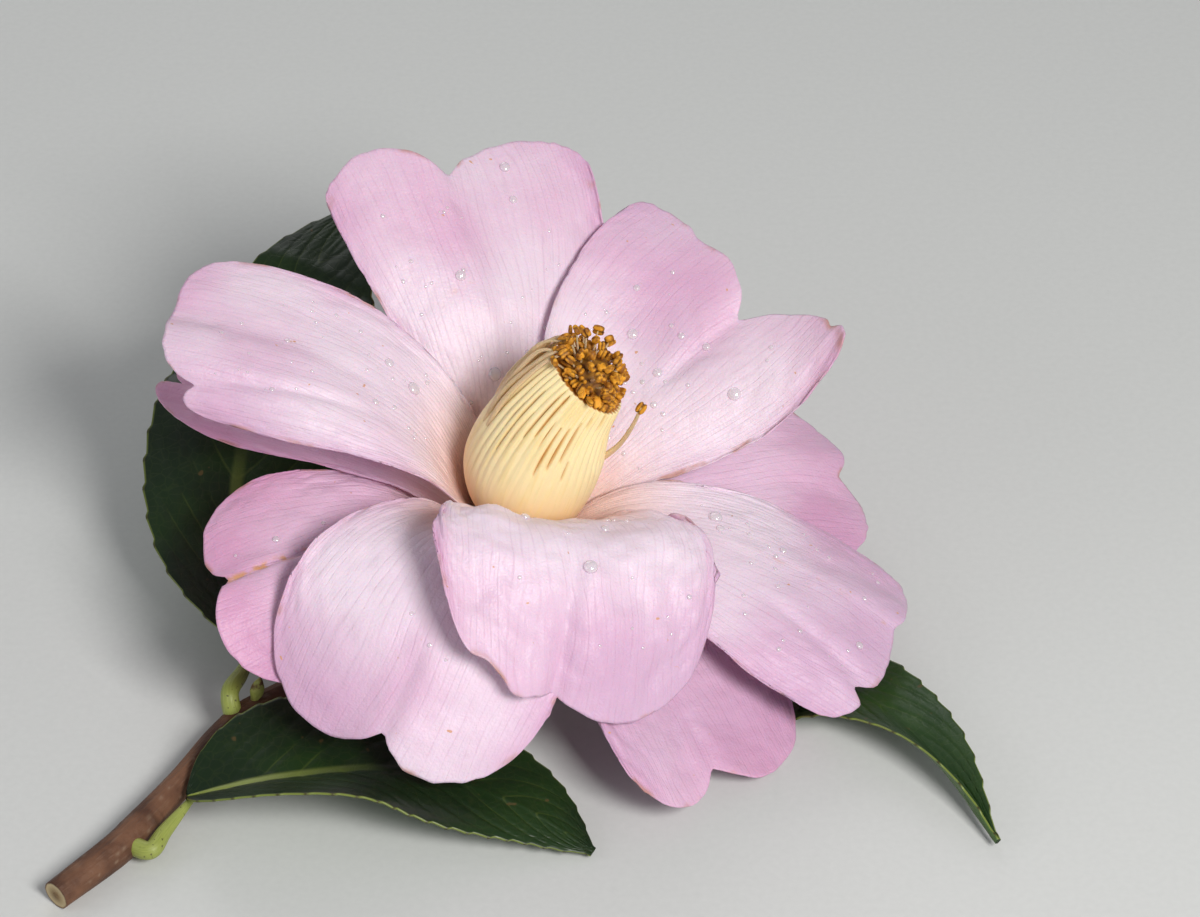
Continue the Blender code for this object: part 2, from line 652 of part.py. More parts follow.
def make_twig(home):
    """The woody twig, from its cut end to the foot of the bloom, and the bud above a leaf."""
    twig = tube("twig", TWIG, TWIG_RADII, home, sides=10)
    twig.data.materials.append(material("bark_brown", (0.12, 0.06, 0.035), 0.8))
    twig.data.shade_smooth()
    bud = ball(8, 6, BUD_SIZE, BUD, Euler((0, 0.25, 0)), home)
    bud.name = "axillary_bud"
    bud.data.materials.append(material("bud_green", (0.25, 0.28, 0.06), 0.5))
    bud.data.shade_smooth()


def main():
    for thing in list(bpy.data.objects):
        bpy.data.objects.remove(thing)
    home = collection("camellia_flower")
    grids = make_petals(home)
    make_calyx(grids, home)
    make_stamens(home)
    make_anthers(home)
    make_leaves(grids, home)
    make_twig(home)
    for thing in home.objects:
        thing.data.transform(Matrix.Translation(Vector(PLACE) * MM))


if __name__ == "__main__":
    main()
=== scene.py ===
# %% [markdown]
# # A cut camellia, laid down
#
# A camellia's open bloom sits on the end of a woody twig with thick, toothed leaves. The solids that
# are loaded here already have every petal, leaf and stem in its place. This lesson makes the fine
# pieces that show in their stead: thin petals with veins and dew, leaves with a raised midrib, bark,
# and a column of stamens. It begins with the solids, since each new piece has to fit them.

# %% Load the solids
from dataclasses import dataclass
from math import pi

import bpy
import numpy as np
from mathutils import Euler, Matrix, Vector


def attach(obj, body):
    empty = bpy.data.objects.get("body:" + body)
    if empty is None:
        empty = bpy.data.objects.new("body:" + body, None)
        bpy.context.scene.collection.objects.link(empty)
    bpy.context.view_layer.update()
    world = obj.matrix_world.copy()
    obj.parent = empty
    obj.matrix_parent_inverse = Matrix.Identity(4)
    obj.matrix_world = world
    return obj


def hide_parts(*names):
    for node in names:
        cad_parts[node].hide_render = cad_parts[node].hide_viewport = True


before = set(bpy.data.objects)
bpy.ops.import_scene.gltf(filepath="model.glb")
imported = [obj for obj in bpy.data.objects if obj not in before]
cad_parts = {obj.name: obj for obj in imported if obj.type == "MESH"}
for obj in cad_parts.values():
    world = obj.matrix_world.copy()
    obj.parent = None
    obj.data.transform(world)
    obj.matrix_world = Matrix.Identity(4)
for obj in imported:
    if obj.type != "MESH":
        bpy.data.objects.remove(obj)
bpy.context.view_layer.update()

MM = 0.001  # lengths below are in millimetres and angles in degrees, where nothing else is said

# %% [markdown]
# ## Curves through a few values
#
# A petal's slope or a stem's route could be drawn by hand as a curve object. Here a short tuple of
# values at even steps is enough, because one function reads a smooth curve through them. It works
# for plain numbers and for rows of points alike.

# %% Reading a smooth curve
def along(values, s):
    """The value at s, from 0 to 1, on a smooth curve through values at even steps."""
    v = np.asarray(values, float)
    s = np.asarray(s, float)
    last = len(v) - 1
    x = np.clip(s, 0, 1) * last
    i = np.minimum(x.astype(int), last - 1)
    f = (x - i).reshape(s.shape + (1,) * (v.ndim - 1))
    slope = np.gradient(v, axis=0)
    near = v[i] * (2 * f**3 - 3 * f**2 + 1) + slope[i] * (f**3 - 2 * f**2 + f)
    return near + v[i + 1] * (3 * f**2 - 2 * f**3) + slope[i + 1] * (f**3 - f**2)


def unit_step(x):
    """0 below 0, 1 above 1, and a smooth rise between."""
    x = np.clip(x, 0, 1)
    return x * x * (3 - 2 * x)


def unit(vectors):
    """The vectors at length 1."""
    return vectors / np.maximum(np.linalg.norm(vectors, axis=-1, keepdims=True), 1e-9)


print("Halfway from 0 over 3 to 4:", along((0, 3, 4), 0.5))

# %% [markdown]
# ## What describes a petal
#
# A real petal is a thin blade that stands on a narrow claw, widens, and ends in a round or notched
# tip. Its midline rises and falls, and each half bends up or down by itself. Those facts are all
# that is written down for each petal. They are the same that the solids were made from, so the
# fine petals fit them.

# %% The facts of one petal
SEAT_RADIUS = 6.3  # of the ring on which the petals are seated


@dataclass
class Petal:
    """One petal in the bloom's own frame, whose axis is +Z, with the seat at height 0.

    A tuple gives a value at even steps from the base to the tip. t runs from -1, the clockwise
    margin seen from above, to 1, the anticlockwise margin.
    """

    heading: float  # the way it points, anticlockwise from +X
    length: float
    half_width: tuple  # of the anticlockwise half and of the clockwise half
    lift: tuple  # the midline's slope above the horizontal
    turn: tuple = (0, 0)  # how far the midline has turned anticlockwise from its heading
    bend_left: tuple = (0, 0)  # how far the anticlockwise half bends up by its margin
    bend_right: tuple = (0, 0)  # the same for the clockwise half
    curl_left: tuple = (0, 0)  # further bend, all of it outside of curl_from
    curl_from: float = 0.1
    seat: tuple = (SEAT_RADIUS, 0.0)  # radius and height of its base
    claw: float = 0.22  # width of the base as a share of the full width
    shoulder: float = 0.55  # how far along the midline it is widest
    square: float = 2.0  # 2 gives a round tip, and more a squarer one
    taper: float = 0.8  # how slim it is below the shoulder: more is slimmer
    notch: float = 0.08  # depth of the notch in the tip, as a share of the length
    notch_at: float = 0.0  # where across the tip the notch is
    notch_wide: float = 0.22
    skew: float = 0.0  # makes one side longer: 0.1 adds a tenth at t = 1
    ruffle: float = 0.8  # height of the waves in the margin


# From the innermost to the outermost: each lies under all that come before it.
OUTER_SEAT = (7.5, -2.5)
PETALS = {
    "petal_front": Petal(
        heading=283, length=56.5, half_width=(21, 23), lift=(84, 36, -43, -57), square=2.4,
        bend_left=(30, 0, -10, 0), bend_right=(30, 0, -10, 0), notch=0.07, notch_at=-0.2, skew=0.04,
    ),
    "petal_right": Petal(
        heading=-14, length=58, half_width=(15, 21), lift=(50, 10, -6, -20), shoulder=0.8, square=3.5,
        taper=0.9, bend_left=(40, 10, -10, -10), bend_right=(30, 0, -35, -50), notch=0.03,
    ),
    "petal_left": Petal(
        heading=172, length=61, half_width=(16, 16), lift=(60, 28, 5, -12), square=3.2, shoulder=0.75,
        bend_left=(50, 10, -10, -20), bend_right=(50, 30, 10, 0), curl_left=(0, -30, -60, -70),
        curl_from=0.3, notch=0.1, notch_at=0.7, notch_wide=0.1,
    ),
    "petal_back_right": Petal(
        heading=48, length=51, half_width=(24.5, 20), lift=(65, 42, 31, 23), turn=(0, 0, -3, -5),
        square=4, shoulder=0.85, taper=1.2, bend_left=(60, 50, 30, 10), bend_right=(10, -30, -20, 30),
        notch=0.18, notch_at=-0.1, skew=-0.04,
    ),
    "petal_back": Petal(
        heading=114, length=60, half_width=(21, 22), lift=(70, 42, 28, 18), turn=(0, 0, 4, 10),
        square=3.2, shoulder=0.88, taper=1.3, bend_left=(30, -10, -30, -30),
        bend_right=(50, 30, 20, 10), notch=0.14, notch_at=0.05, notch_wide=0.3, skew=0.08,
    ),
    "petal_front_left": Petal(
        heading=246, length=57, half_width=(21.5, 22), lift=(45, 8, -48, -60), shoulder=0.65,
        square=2.3, bend_left=(30, -10, -20, -20), bend_right=(30, 0, -10, -20), notch=0.12,
        notch_at=0.05,
    ),
    "petal_outer_right": Petal(
        heading=21, length=53, half_width=(20, 18), lift=(30, 18, 0, -20), shoulder=0.7,
        bend_left=(20, 10, 0, 0), bend_right=(20, 0, -10, -10), notch=0.1, seat=OUTER_SEAT,
    ),
    "petal_outer_front": Petal(
        heading=309, length=50, half_width=(21, 16), lift=(20, 0, -20, -24), shoulder=0.7, square=2.5,
        bend_left=(20, 10, 0, 0), bend_right=(20, 10, 0, 0), notch=0.12, seat=OUTER_SEAT,
    ),
    "petal_outer_back_left": Petal(
        heading=164, length=56, half_width=(10.5, 17), lift=(35, 6, -6, -16), shoulder=0.7,
        bend_left=(20, 0, -10, 0), bend_right=(20, 10, 0, 0), notch=0.1, seat=OUTER_SEAT,
    ),
    "petal_outer_left": Petal(
        heading=207, length=49, half_width=(20, 17), lift=(30, 4, -14, -26), shoulder=0.7, skew=0.1,
        bend_left=(20, 0, -20, -50), bend_right=(20, 0, -10, 0), notch=0.12, seat=OUTER_SEAT,
    ),
    "petal_outer_back": Petal(
        heading=95, length=50, half_width=(20, 20), lift=(12, -13, -35, -45), shoulder=0.7,
        bend_left=(20, 10, 0, 0), bend_right=(20, 10, 0, 0), notch=0.1, seat=OUTER_SEAT,
    ),
}
SEPALS = {
    f"sepal_{k}": Petal(
        heading=36 + 72 * k, length=11, half_width=(5.5, 5.5), lift=(20, 12, 6, 0), claw=0.5, notch=0,
        bend_left=(10, 10, 20, 20), bend_right=(10, 10, 20, 20), seat=(5.5, -4.6), ruffle=0,
    )
    for k in range(5)
}
print(len(PETALS), "petals and", len(SEPALS), "sepals are described")

# %% [markdown]
# ## From the facts to points
#
# The midline is added up from many short straight steps, each at its own slope. At each point of
# it the blade then runs out to both margins on a cross section that bends as it goes. A sculpted
# plane could look the same, but a formula lets the same petal be made at any fineness.

# %% The midline and the blade
SPINE_STEPS = 120  # straight steps in the midline
ARC_STEPS = 10  # straight steps in half a cross section


def spine_of(petal):
    """The midline's points and its left and up vectors, at even steps."""
    s = np.linspace(0, 1, SPINE_STEPS + 1)
    lift = np.radians(along(petal.lift, s))
    way = np.radians(petal.heading + along(petal.turn, s))
    ahead = np.stack([np.cos(lift) * np.cos(way), np.cos(lift) * np.sin(way), np.sin(lift)], -1)
    left = np.stack([-np.sin(way), np.cos(way), 0 * way], -1)
    steps = (ahead[1:] + ahead[:-1]) / 2 * petal.length / SPINE_STEPS
    radius, height = petal.seat
    start = np.array([radius * np.cos(way[0]), radius * np.sin(way[0]), height])
    return s, start + np.vstack([np.zeros(3), np.cumsum(steps, 0)]), left, np.cross(ahead, left)


def petal_reach(petal, t):
    """How far along the midline each column goes, which is the outline of the tip."""
    side = petal.shoulder
    power = petal.square
    round_tip = side + (1 - side) * np.clip(1 - np.abs(t) ** power, 0, 1) ** (1 / power)
    from_notch = np.sqrt((t - petal.notch_at) ** 2 + 0.02**2)
    cut = petal.notch * np.exp(-from_notch / petal.notch_wide)
    return round_tip * (1 - cut) * (1 + petal.skew * t)


def rim_of(s, t):
    """How close a point is to the petal's edge: 0 inside, and 1 at the tip and both margins."""
    return 1 - (1 - s**4) * (1 - np.abs(t) ** 4)


def petal_points(petal, s, t):
    """The points of the blade's middle at s, from base to tip, and t, from margin to margin."""
    run, spine, left, up = spine_of(petal)
    d = s * petal_reach(petal, t)
    swell = np.sin(pi / 2 * np.clip(d / petal.shoulder, 0, 1)) ** petal.taper
    leftward = t > 0
    width = (petal.claw + (1 - petal.claw) * swell) * np.where(leftward, *petal.half_width)
    bend = np.radians(np.where(leftward, along(petal.bend_left, d), along(petal.bend_right, d)))
    curl = np.radians(np.where(leftward, along(petal.curl_left, d), 0))
    side = np.abs(t)
    out, rise = np.zeros_like(d), np.zeros_like(d)
    for k in range(ARC_STEPS):
        here = side * (k + 0.5) / ARC_STEPS
        angle = bend * here + curl * unit_step((here - petal.curl_from) / (1 - petal.curl_from))
        out += np.cos(angle) * side / ARC_STEPS
        rise += np.sin(angle) * side / ARC_STEPS
    out *= np.sign(t) * width
    wave = np.sin(5 * np.arctan2(t, s - 0.35))
    rise = rise * width + petal.ruffle * rim_of(s, t) * wave * unit_step(d * 2)
    at, lv, uv = (np.stack([np.interp(d, run, v[:, i]) for i in range(3)], -1) for v in (spine, left, up))
    return at + out[..., None] * lv + rise[..., None] * uv


def sheet_parameters(rows, columns):
    """s and t of a sheet's points: even from base to tip, and closer together by the margins."""
    s = np.linspace(0, 1, rows)
    t = np.sin(np.linspace(-pi / 2, pi / 2, columns))
    return np.meshgrid(s, t, indexing="ij")


print("The front petal's tip, in the bloom's frame:", petal_points(PETALS["petal_front"], 1.0, 0.0))

# %% [markdown]
# ## The stamens' column, and how the petals lie on each other
#
# A camellia's many stamens are fused into one fleshy column, and the petals lie round it and on each
# other. Petals placed by eye would run through each other, and a cloth simulation would let them sag.
# So each one is laid under those that come before it: wherever its points are too close to a petal
# above, they are moved down, and the move fades into the points around.

# %% The column's form
COLUMN_TOP = 31.0
COLUMN_SLANT = 0.5  # how much the column's top slopes down towards +X


COLUMN_RADIUS = (5.2, 8.6, 10.2, 10.2, 9.0, 7.4, 6.2)  # at even steps, from foot to top
COLUMN_BEND = (0, -1.2, -1.6, -1.3, -0.5, 0.8, 2.4)  # how far its middle is shifted towards +X


def column_surface(angle, z, swell=1.0):
    """A point of the column: a barrel that draws in towards its top, leans, and has a sloping top."""
    radius = along(COLUMN_RADIUS, z / COLUMN_TOP) * swell
    x = along(COLUMN_BEND, z / COLUMN_TOP) + radius * np.cos(angle)
    slope = COLUMN_SLANT * unit_step((z / COLUMN_TOP - 0.4) / 0.6)
    return np.stack([x, radius * np.sin(angle), z - x * slope], -1)


print("The column is widest at", 2 * max(COLUMN_RADIUS), "mm")

# %% How far a sheet is from another
PETAL_GRID = (17, 13)  # points from base to tip and from margin to margin
SEPAL_GRID = (8, 7)
SHEET_GAP = 1.5  # least distance between the middles of two petals
REACH = 9.0  # how far above and below a petal its neighbours are looked for
EDGE_REACH = 3.0  # the same, seen from a neighbour's points


def sheet_triangles(shape):
    """The three point numbers of each triangle of a grid."""
    number = np.arange(shape[0] * shape[1]).reshape(shape[:2])
    corners = number[:-1, :-1], number[1:, :-1], number[1:, 1:], number[:-1, 1:]
    a, b, c, d = (corner.ravel() for corner in corners)
    return np.concatenate([np.stack([a, b, c], 1), np.stack([a, c, d], 1)])


def crossing_heights(points, normals, reach, sheet, triangles):
    """How far along its normal each point meets each triangle of a sheet: nan where it doesn't."""
    corners = sheet.reshape(-1, 3)[triangles]
    side_1, side_2 = corners[:, 1] - corners[:, 0], corners[:, 2] - corners[:, 0]
    cross = np.cross(normals[:, None], side_2[None])
    scale = (cross * side_1).sum(-1)
    scale = np.where(np.abs(scale) < 1e-9, np.nan, scale)
    offset = points[:, None] - corners[None, :, 0]
    u = (offset * cross).sum(-1) / scale
    turned = np.cross(offset, side_1[None])
    v = (normals[:, None] * turned).sum(-1) / scale
    height = (side_2 * turned).sum(-1) / scale
    inside = (u >= -0.02) & (v >= -0.02) & (u + v <= 1.02) & (np.abs(height) < reach)
    return np.where(inside, height, np.nan)


def sheet_normals(grid):
    """The direction that is up from the sheet at each of its points."""
    return unit(np.cross(np.gradient(grid, axis=0), np.gradient(grid, axis=1)))


print("A petal is laid as", len(sheet_triangles(PETAL_GRID)), "triangles")


# %% Laying a sheet under others
LAYING_ROUNDS = 4
SPREAD_SHARES = (0.9, 0.85, 0.75, 0.6)  # of a push that reaches the next points, round by round


def spread(push):
    """The push, carried on to the points around it so that it dies away smoothly."""
    for share in SPREAD_SHARES:
        padded = np.pad(push, 1, mode="edge")
        rows, columns = push.shape
        around = [padded[i : i + rows, j : j + columns] for i in range(3) for j in range(3)]
        push = np.maximum(push, share * np.max(around, 0) * 0.5 + share * np.mean(around, 0) * 0.5)
    return push


def laid_under(grid, above):
    """The sheet, pushed down wherever it would come too close to those above it."""
    triangles = sheet_triangles(grid.shape)
    for _ in range(LAYING_ROUNDS):
        normals = sheet_normals(grid)
        push = np.zeros(normals.shape[:2])
        for other in above:
            args = other, sheet_triangles(other.shape)
            height = crossing_heights(grid.reshape(-1, 3), normals.reshape(-1, 3), REACH, *args)
            wanted = np.nan_to_num(SHEET_GAP - height).max(1)
            facing = sheet_normals(other).reshape(-1, 3)
            height = crossing_heights(other.reshape(-1, 3), facing, EDGE_REACH, grid, triangles)
            by_triangle = np.nan_to_num(SHEET_GAP + height).max(0)
            np.maximum.at(wanted, triangles.ravel(), np.repeat(by_triangle, 3))
            push = np.maximum(push, wanted.reshape(push.shape))
        grid = grid - normals * spread(push)[..., None]
    return grid


print("Sheets are laid in", LAYING_ROUNDS, "rounds, at least", SHEET_GAP, "mm apart")

# %% Settle every petal
FLOWER_HEIGHT = 20.0  # where the petals are seated, above the surface
FLOWER_LEAN = 15.0  # the bloom's axis leans this far from upright, towards +X
PLACE = np.array((-1.23, 1.75, -0.03))  # where the whole part stands in its frame


def bloom_to_world(points):
    """From the bloom's own frame to the part's frame, still in millimetres."""
    a = np.radians(FLOWER_LEAN)
    x, y, z = points[..., 0], points[..., 1], points[..., 2]
    raised = z * np.cos(a) - x * np.sin(a) + FLOWER_HEIGHT
    return np.stack([x * np.cos(a) + z * np.sin(a), y, raised], -1) + PLACE


round_and_up = np.meshgrid(np.linspace(0, 2 * pi, 25), np.linspace(-1, COLUMN_TOP, 12))
column_grid = column_surface(*round_and_up)
settled, unsettled = {}, {}
for name, petal in (PETALS | SEPALS).items():
    s, t = sheet_parameters(*(PETAL_GRID if name in PETALS else SEPAL_GRID))
    unsettled[name] = petal_points(petal, s, t)
    settled[name] = laid_under(unsettled[name], [column_grid, *settled.values()])
moves = [np.linalg.norm(settled[name] - unsettled[name], axis=-1).max() for name in PETALS]
print("Largest move of a petal, in millimetres:", round(max(moves), 1))

# %% [markdown]
# ## Materials as sums
#
# A material is a web of nodes. Wired up by hand, its maths is hard to read, so a small class wraps a
# node's output and lets Python's own + - * and ** add the Math nodes. Every other node comes from
# one method, `add`. Only values that change over the surface are wired. The rest are set on the
# shader.

# %% A wire that Python's operators work on
class Wire:
    """One output of a node. Python's operators on it add Math nodes."""

    def __init__(self, finish, node, out=0):
        self.finish, self.node, self.socket = finish, node, node.outputs[out]

    def out(self, name):
        return Wire(self.finish, self.node, name)

    def math(self, operation, *values):
        return self.finish.add("ShaderNodeMath", {"operation": operation}, values)

    def __add__(self, other):
        return self.math("ADD", self, other)

    def __sub__(self, other):
        return self.math("SUBTRACT", self, other)

    def __rsub__(self, other):
        return self.math("SUBTRACT", other, self)

    def __mul__(self, other):
        return self.math("MULTIPLY", self, other)

    def __abs__(self):
        return self.math("ABSOLUTE", self)

    def __pow__(self, other):
        return self.math("POWER", self, other)

    def __mod__(self, other):
        return self.math("FLOORED_MODULO", self, other)

    def rise(self, low, high):
        """0 at low, 1 at high, and a smooth step between. low may be the larger."""
        ends = {1: min(low, high), 2: max(low, high), 3: float(low > high), 4: float(low <= high)}
        smooth = {"interpolation_type": "SMOOTHSTEP"}
        return self.finish.add("ShaderNodeMapRange", smooth, {0: self} | ends)

    __radd__ = __add__
    __rmul__ = __mul__


print("A wire takes + - * ** % and abs")

# %% A finish that adds nodes

class Finish:
    """A material with one Principled shader. Fixed values are set straight on its sockets."""

    def __init__(self, name, **fixed):
        self.material = bpy.data.materials.new(name)
        self.material.use_nodes = True
        self.nodes = self.material.node_tree.nodes
        self.shader = self.nodes["Principled BSDF"]
        for socket, value in fixed.items():
            self.shader.inputs[socket.replace("_", " ")].default_value = value
        place = self.add("ShaderNodeTexCoord")
        self.place, self.uv = place.out("Object"), place.out("UV")

    def add(self, kind, settings=None, values=(), out=0):
        """A node of that type with its settings, and numbers, colours or wires for its sockets."""
        node = self.nodes.new(kind)
        for key, value in (settings or {}).items():
            setattr(node, key, value)
        for key, value in dict(values if isinstance(values, dict) else enumerate(values)).items():
            self.feed(node.inputs[key], value)
        return Wire(self, node, out)

    def feed(self, socket, value):
        """Link a wire to a socket, or set the socket's own value."""
        if isinstance(value, Wire):
            self.material.node_tree.links.new(value.socket, socket)
        else:
            colour = hasattr(value, "__len__") and len(socket.default_value) > len(value)
            socket.default_value = (*value, 1.0) if colour else value

    def noise(self, vector, scale, detail=2.0, rough=0.5):
        values = {"Vector": vector, "Scale": scale, "Detail": detail, "Roughness": rough}
        return self.add("ShaderNodeTexNoise", None, values)

    def vector(self, x, y, z=0.0):
        return self.add("ShaderNodeCombineXYZ", None, (x, y, z))

    def parts(self, vector):
        both = self.add("ShaderNodeSeparateXYZ", None, (vector,))
        return both, both.out(1)

    def value(self, attribute):
        """A number that is stored in the mesh at each point."""
        return self.add("ShaderNodeAttribute", {"attribute_name": attribute}, out="Fac")

    def blend(self, share, a, b):
        """From colour a at 0 to colour b at 1."""
        return self.add("ShaderNodeMix", {"data_type": "RGBA"}, {0: share, 6: a, 7: b}, 2)

    def paint(self, colour, rough, height=None, depth=0.0):
        """Feed the shader: its colour and roughness, and a bump whose full depth is in millimetres."""
        self.feed(self.shader.inputs["Base Color"], colour)
        self.feed(self.shader.inputs["Roughness"], rough)
        if height is not None:
            values = {"Strength": 1.0, "Distance": depth * MM, "Height": height}
            self.feed(self.shader.inputs["Normal"], self.add("ShaderNodeBump", None, values))
        return self.material


print("A finish starts with", len(Finish("trial").nodes), "nodes")
bpy.data.materials.remove(bpy.data.materials["trial"])

# %% [markdown]
# ## Petal skin
#
# A camellia petal is pale pink with a peach foot. Fine, darker veins fan out from the foot and fork
# towards the rim, which is the deepest pink. Its cells make it sparkle faintly, and here and there
# it has a brown speck. A painted picture could hold all that, but it would blur up close. Here the
# veins follow the petal's own UV map, where u runs across and v from foot to tip, so they spread
# where the petal spreads.

# %% The petal finish
PEACH = (0.95, 0.64, 0.50)  # at the petal's foot
# a lilac that is painted shade towards the petals' tips
LILAC_PAINTED_SHADE = (0.60, 0.43, 0.60)
VEIN = (0.50, 0.22, 0.38)
BRUISE = (0.72, 0.36, 0.20)
DRY_RIM = (0.50, 0.22, 0.12)
VEINS_ACROSS = 40


def petal_finish(name, pale, pink, veins):
    """pale and pink are colours, and veins says how dark the veins are."""
    finish = Finish(name, Sheen_Weight=0.08, Sheen_Roughness=0.5, Subsurface_Weight=0.1,
                    Subsurface_Scale=0.0012, Specular_IOR_Level=0.3)
    u, v = finish.parts(finish.uv)
    drift = finish.noise(finish.vector(u * 2.5, v * 1.2), 1.6, 1.0)
    lines = u * VEINS_ACROSS + drift * 4
    lines = lines + finish.noise(finish.vector(u * 26, v * 4), 1.0, 1.0) * 1.2
    ridge = abs(lines % 1.0 - 0.5)
    main = ridge.rise(0.16, 0.0)
    forks = abs((lines * 2 + 0.5) % 1.0 - 0.5).rise(0.22, 0.0) * v.rise(0.25, 0.6)
    twigs = abs((lines * 4 + 0.2) % 1.0 - 0.5).rise(0.26, 0.0) * v.rise(0.45, 0.85)
    shown = finish.noise(finish.vector(u * 22, v * 5), 1.0).rise(0.42, 0.62)
    broken = finish.noise(finish.vector(u * 60, v * 30), 1.0).rise(0.36, 0.6)
    vein = main * (shown * 0.7 + 0.3) + (forks * 0.6 + twigs * 0.3) * broken
    side = abs(u * 2 - 1)
    rim = v.rise(0.4, 1.0) * 0.75 + side.rise(0.45, 1.0) * 0.4
    cloud = finish.noise(finish.place, 38.0, 2.0)
    streak = finish.noise(finish.vector(u * 60, v * 2), 1.0, 2.0)
    flush = (rim * 0.7 + (cloud - 0.5) * 1.7 + (streak - 0.5) * 0.25 + 0.08).rise(0.0, 1.0)
    colour = finish.blend(flush, pale, pink)
    # painted shade: patches towards the tip turn a darker lilac, where the petals turn away from the light
    painted_shade = finish.noise(finish.place, 22.0, 1.0).rise(0.4, 0.7) * v.rise(0.3, 0.9)
    colour = finish.blend(painted_shade * 0.5, colour, LILAC_PAINTED_SHADE)
    colour = finish.blend(v.rise(0.4, 0.02) * 0.85, colour, PEACH)
    colour = finish.blend(vein * veins, colour, VEIN)
    dapple = finish.noise(finish.place, 420.0, 2.0).rise(0.42, 0.62)
    specks = finish.noise(finish.place, 700.0, 1.0).rise(0.77, 0.81) * 0.8
    specks = specks + finish.value("bruise") * dapple * 0.6
    colour = finish.blend(specks.rise(0.0, 1.0), colour, BRUISE)
    edge = finish.value("rim").rise(0.93, 1.0) * finish.noise(finish.place, 160.0).rise(0.52, 0.68)
    colour = finish.blend(edge * 0.7, colour, DRY_RIM)
    cells = finish.noise(finish.place, 2600.0, 1.0)
    rough = 0.5 - cells * 0.2 + vein * 0.1
    dents = finish.noise(finish.place, 260.0, 2.0)
    height = cells * 0.5 - vein * 0.15 + streak * 0.2 + ridge * v.rise(0.8, 0.2) * 0.5 + dents * 1.6
    return finish.paint(colour, rough, height, 0.16)


# %% The four petal finishes: for the upper and under faces of both whorls
petal_faces = {
    "inner": (petal_finish("petal_upper", (0.93, 0.76, 0.88), (0.78, 0.44, 0.65), 0.11),
              petal_finish("petal_under", (0.86, 0.60, 0.76), (0.74, 0.40, 0.60), 0.18)),
    "outer": (petal_finish("outer_petal_upper", (0.89, 0.63, 0.80), (0.74, 0.36, 0.57), 0.13),
              petal_finish("outer_petal_under", (0.83, 0.54, 0.70), (0.71, 0.34, 0.54), 0.18)),
}
print("Petal finishes:", [face.name for pair in petal_faces.values() for face in pair])

# %% [markdown]
# ## Making sheets
#
# Each petal, leaf and sepal starts as a grid primitive. Its points are then moved to those of the
# formula, because a petal's double curve can't be pulled into shape by hand the same way twice.
# Solidify gives it a wall that thins towards the rim, with another finish underneath. Its UV map
# comes with the primitive.

# %% From a grid primitive to a sheet
def active(piece):
    """Make this the one selected object."""
    bpy.ops.object.select_all(action="DESELECT")
    piece.select_set(True)
    bpy.context.view_layer.objects.active = piece


def apply_all(piece):
    """Apply every modifier, in order."""
    active(piece)
    for modifier in list(piece.modifiers):
        bpy.ops.object.modifier_apply(modifier=modifier.name)


def new_grid(name, points, **values):
    """A grid primitive with its points moved to the given rows and columns, and stored values."""
    rows, columns = points.shape[:2]
    bpy.ops.object.select_all(action="DESELECT")
    bpy.ops.mesh.primitive_grid_add(x_subdivisions=columns - 1, y_subdivisions=rows - 1, size=2)
    grid = bpy.context.object
    grid.name = grid.data.name = name
    at = np.empty(rows * columns * 3)
    grid.data.vertices.foreach_get("co", at)
    at = at.reshape(-1, 3)
    column = np.rint((1 - at[:, 0]) / 2 * (columns - 1)).astype(int)
    row = np.rint((1 + at[:, 1]) / 2 * (rows - 1)).astype(int)
    grid.data.vertices.foreach_set("co", (points[row, column] * MM).ravel())
    for key, value in values.items():
        stored = grid.data.attributes.new(key, "FLOAT", "POINT")
        stored.data.foreach_set("value", value[row, column].astype(np.float32))
    grid.data.update()
    return grid


print("On a sheet's UV map, u runs from margin to margin and v from foot to tip")


# %% From a sheet to a blade with a wall
def thicken(sheet, thickness, faces, thin=None):
    """Give a sheet a wall: the first finish is on top, the second below, and thin narrows the rim."""
    for finish in faces:
        sheet.data.materials.append(finish)
    wall = sheet.modifiers.new("Wall", "SOLIDIFY")
    wall.thickness = thickness * MM
    wall.offset = 0
    wall.material_offset = len(faces) - 1
    if thin:
        group = sheet.vertex_groups.new(name="wall")
        rim = np.empty(len(sheet.data.vertices))
        sheet.data.attributes["rim"].data.foreach_get("value", rim)
        for number, share in enumerate(1 - rim**3):
            group.add([number], share, "REPLACE")
        wall.vertex_group = "wall"
        wall.thickness_vertex_group = thin
    apply_all(sheet)
    sheet.vertex_groups.clear()
    bpy.ops.object.shade_smooth()
    return sheet


def hand_over(piece, slot, *nodes):
    """The piece rides on the part's one body and stands for those solids, which it hides. slot is not
    used.
    """
    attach(piece, "root")
    if nodes:
        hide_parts(*nodes)
    piece.data.calc_loop_triangles()
    print(piece.name, "has", len(piece.data.loop_triangles), "triangles")


# %% [markdown]
# ## The eleven petals
#
# Up close a petal isn't smooth. Low ribs run along its veins, its blade has soft dents, its rim is
# finely fluted and nicked, and a crease runs in from a notch. Sculpting would give each petal other
# dents on each try. Here seeded draws and a few facts lift them off the smooth form, as real shape,
# since bump alone would leave the outline and the highlights too clean.

# %% What makes each petal uneven
PETAL_DETAIL = (131, 89)  # points from base to tip and from margin to margin
PETAL_WALL = 0.45
VEIN_RIB = 0.03  # height of the ribs along the veins
# Soft dents of the blade: (how many along and across it, height).
RUMPLES = (((6, 5), 0.3), ((10, 11), 0.2), ((20, 22), 0.11), ((40, 40), 0.05))
# Waves of the rim: (how many round it, height).
FLUTES = ((9, 0.55), (17, 0.25), (44, 0.08))
# How much more, or less, some petals are dented and waved than the others.
CRUMPLE = {"petal_front": 2.5, "petal_outer_front": 1.2, "petal_back": 0.8, "petal_outer_right": 0.7}
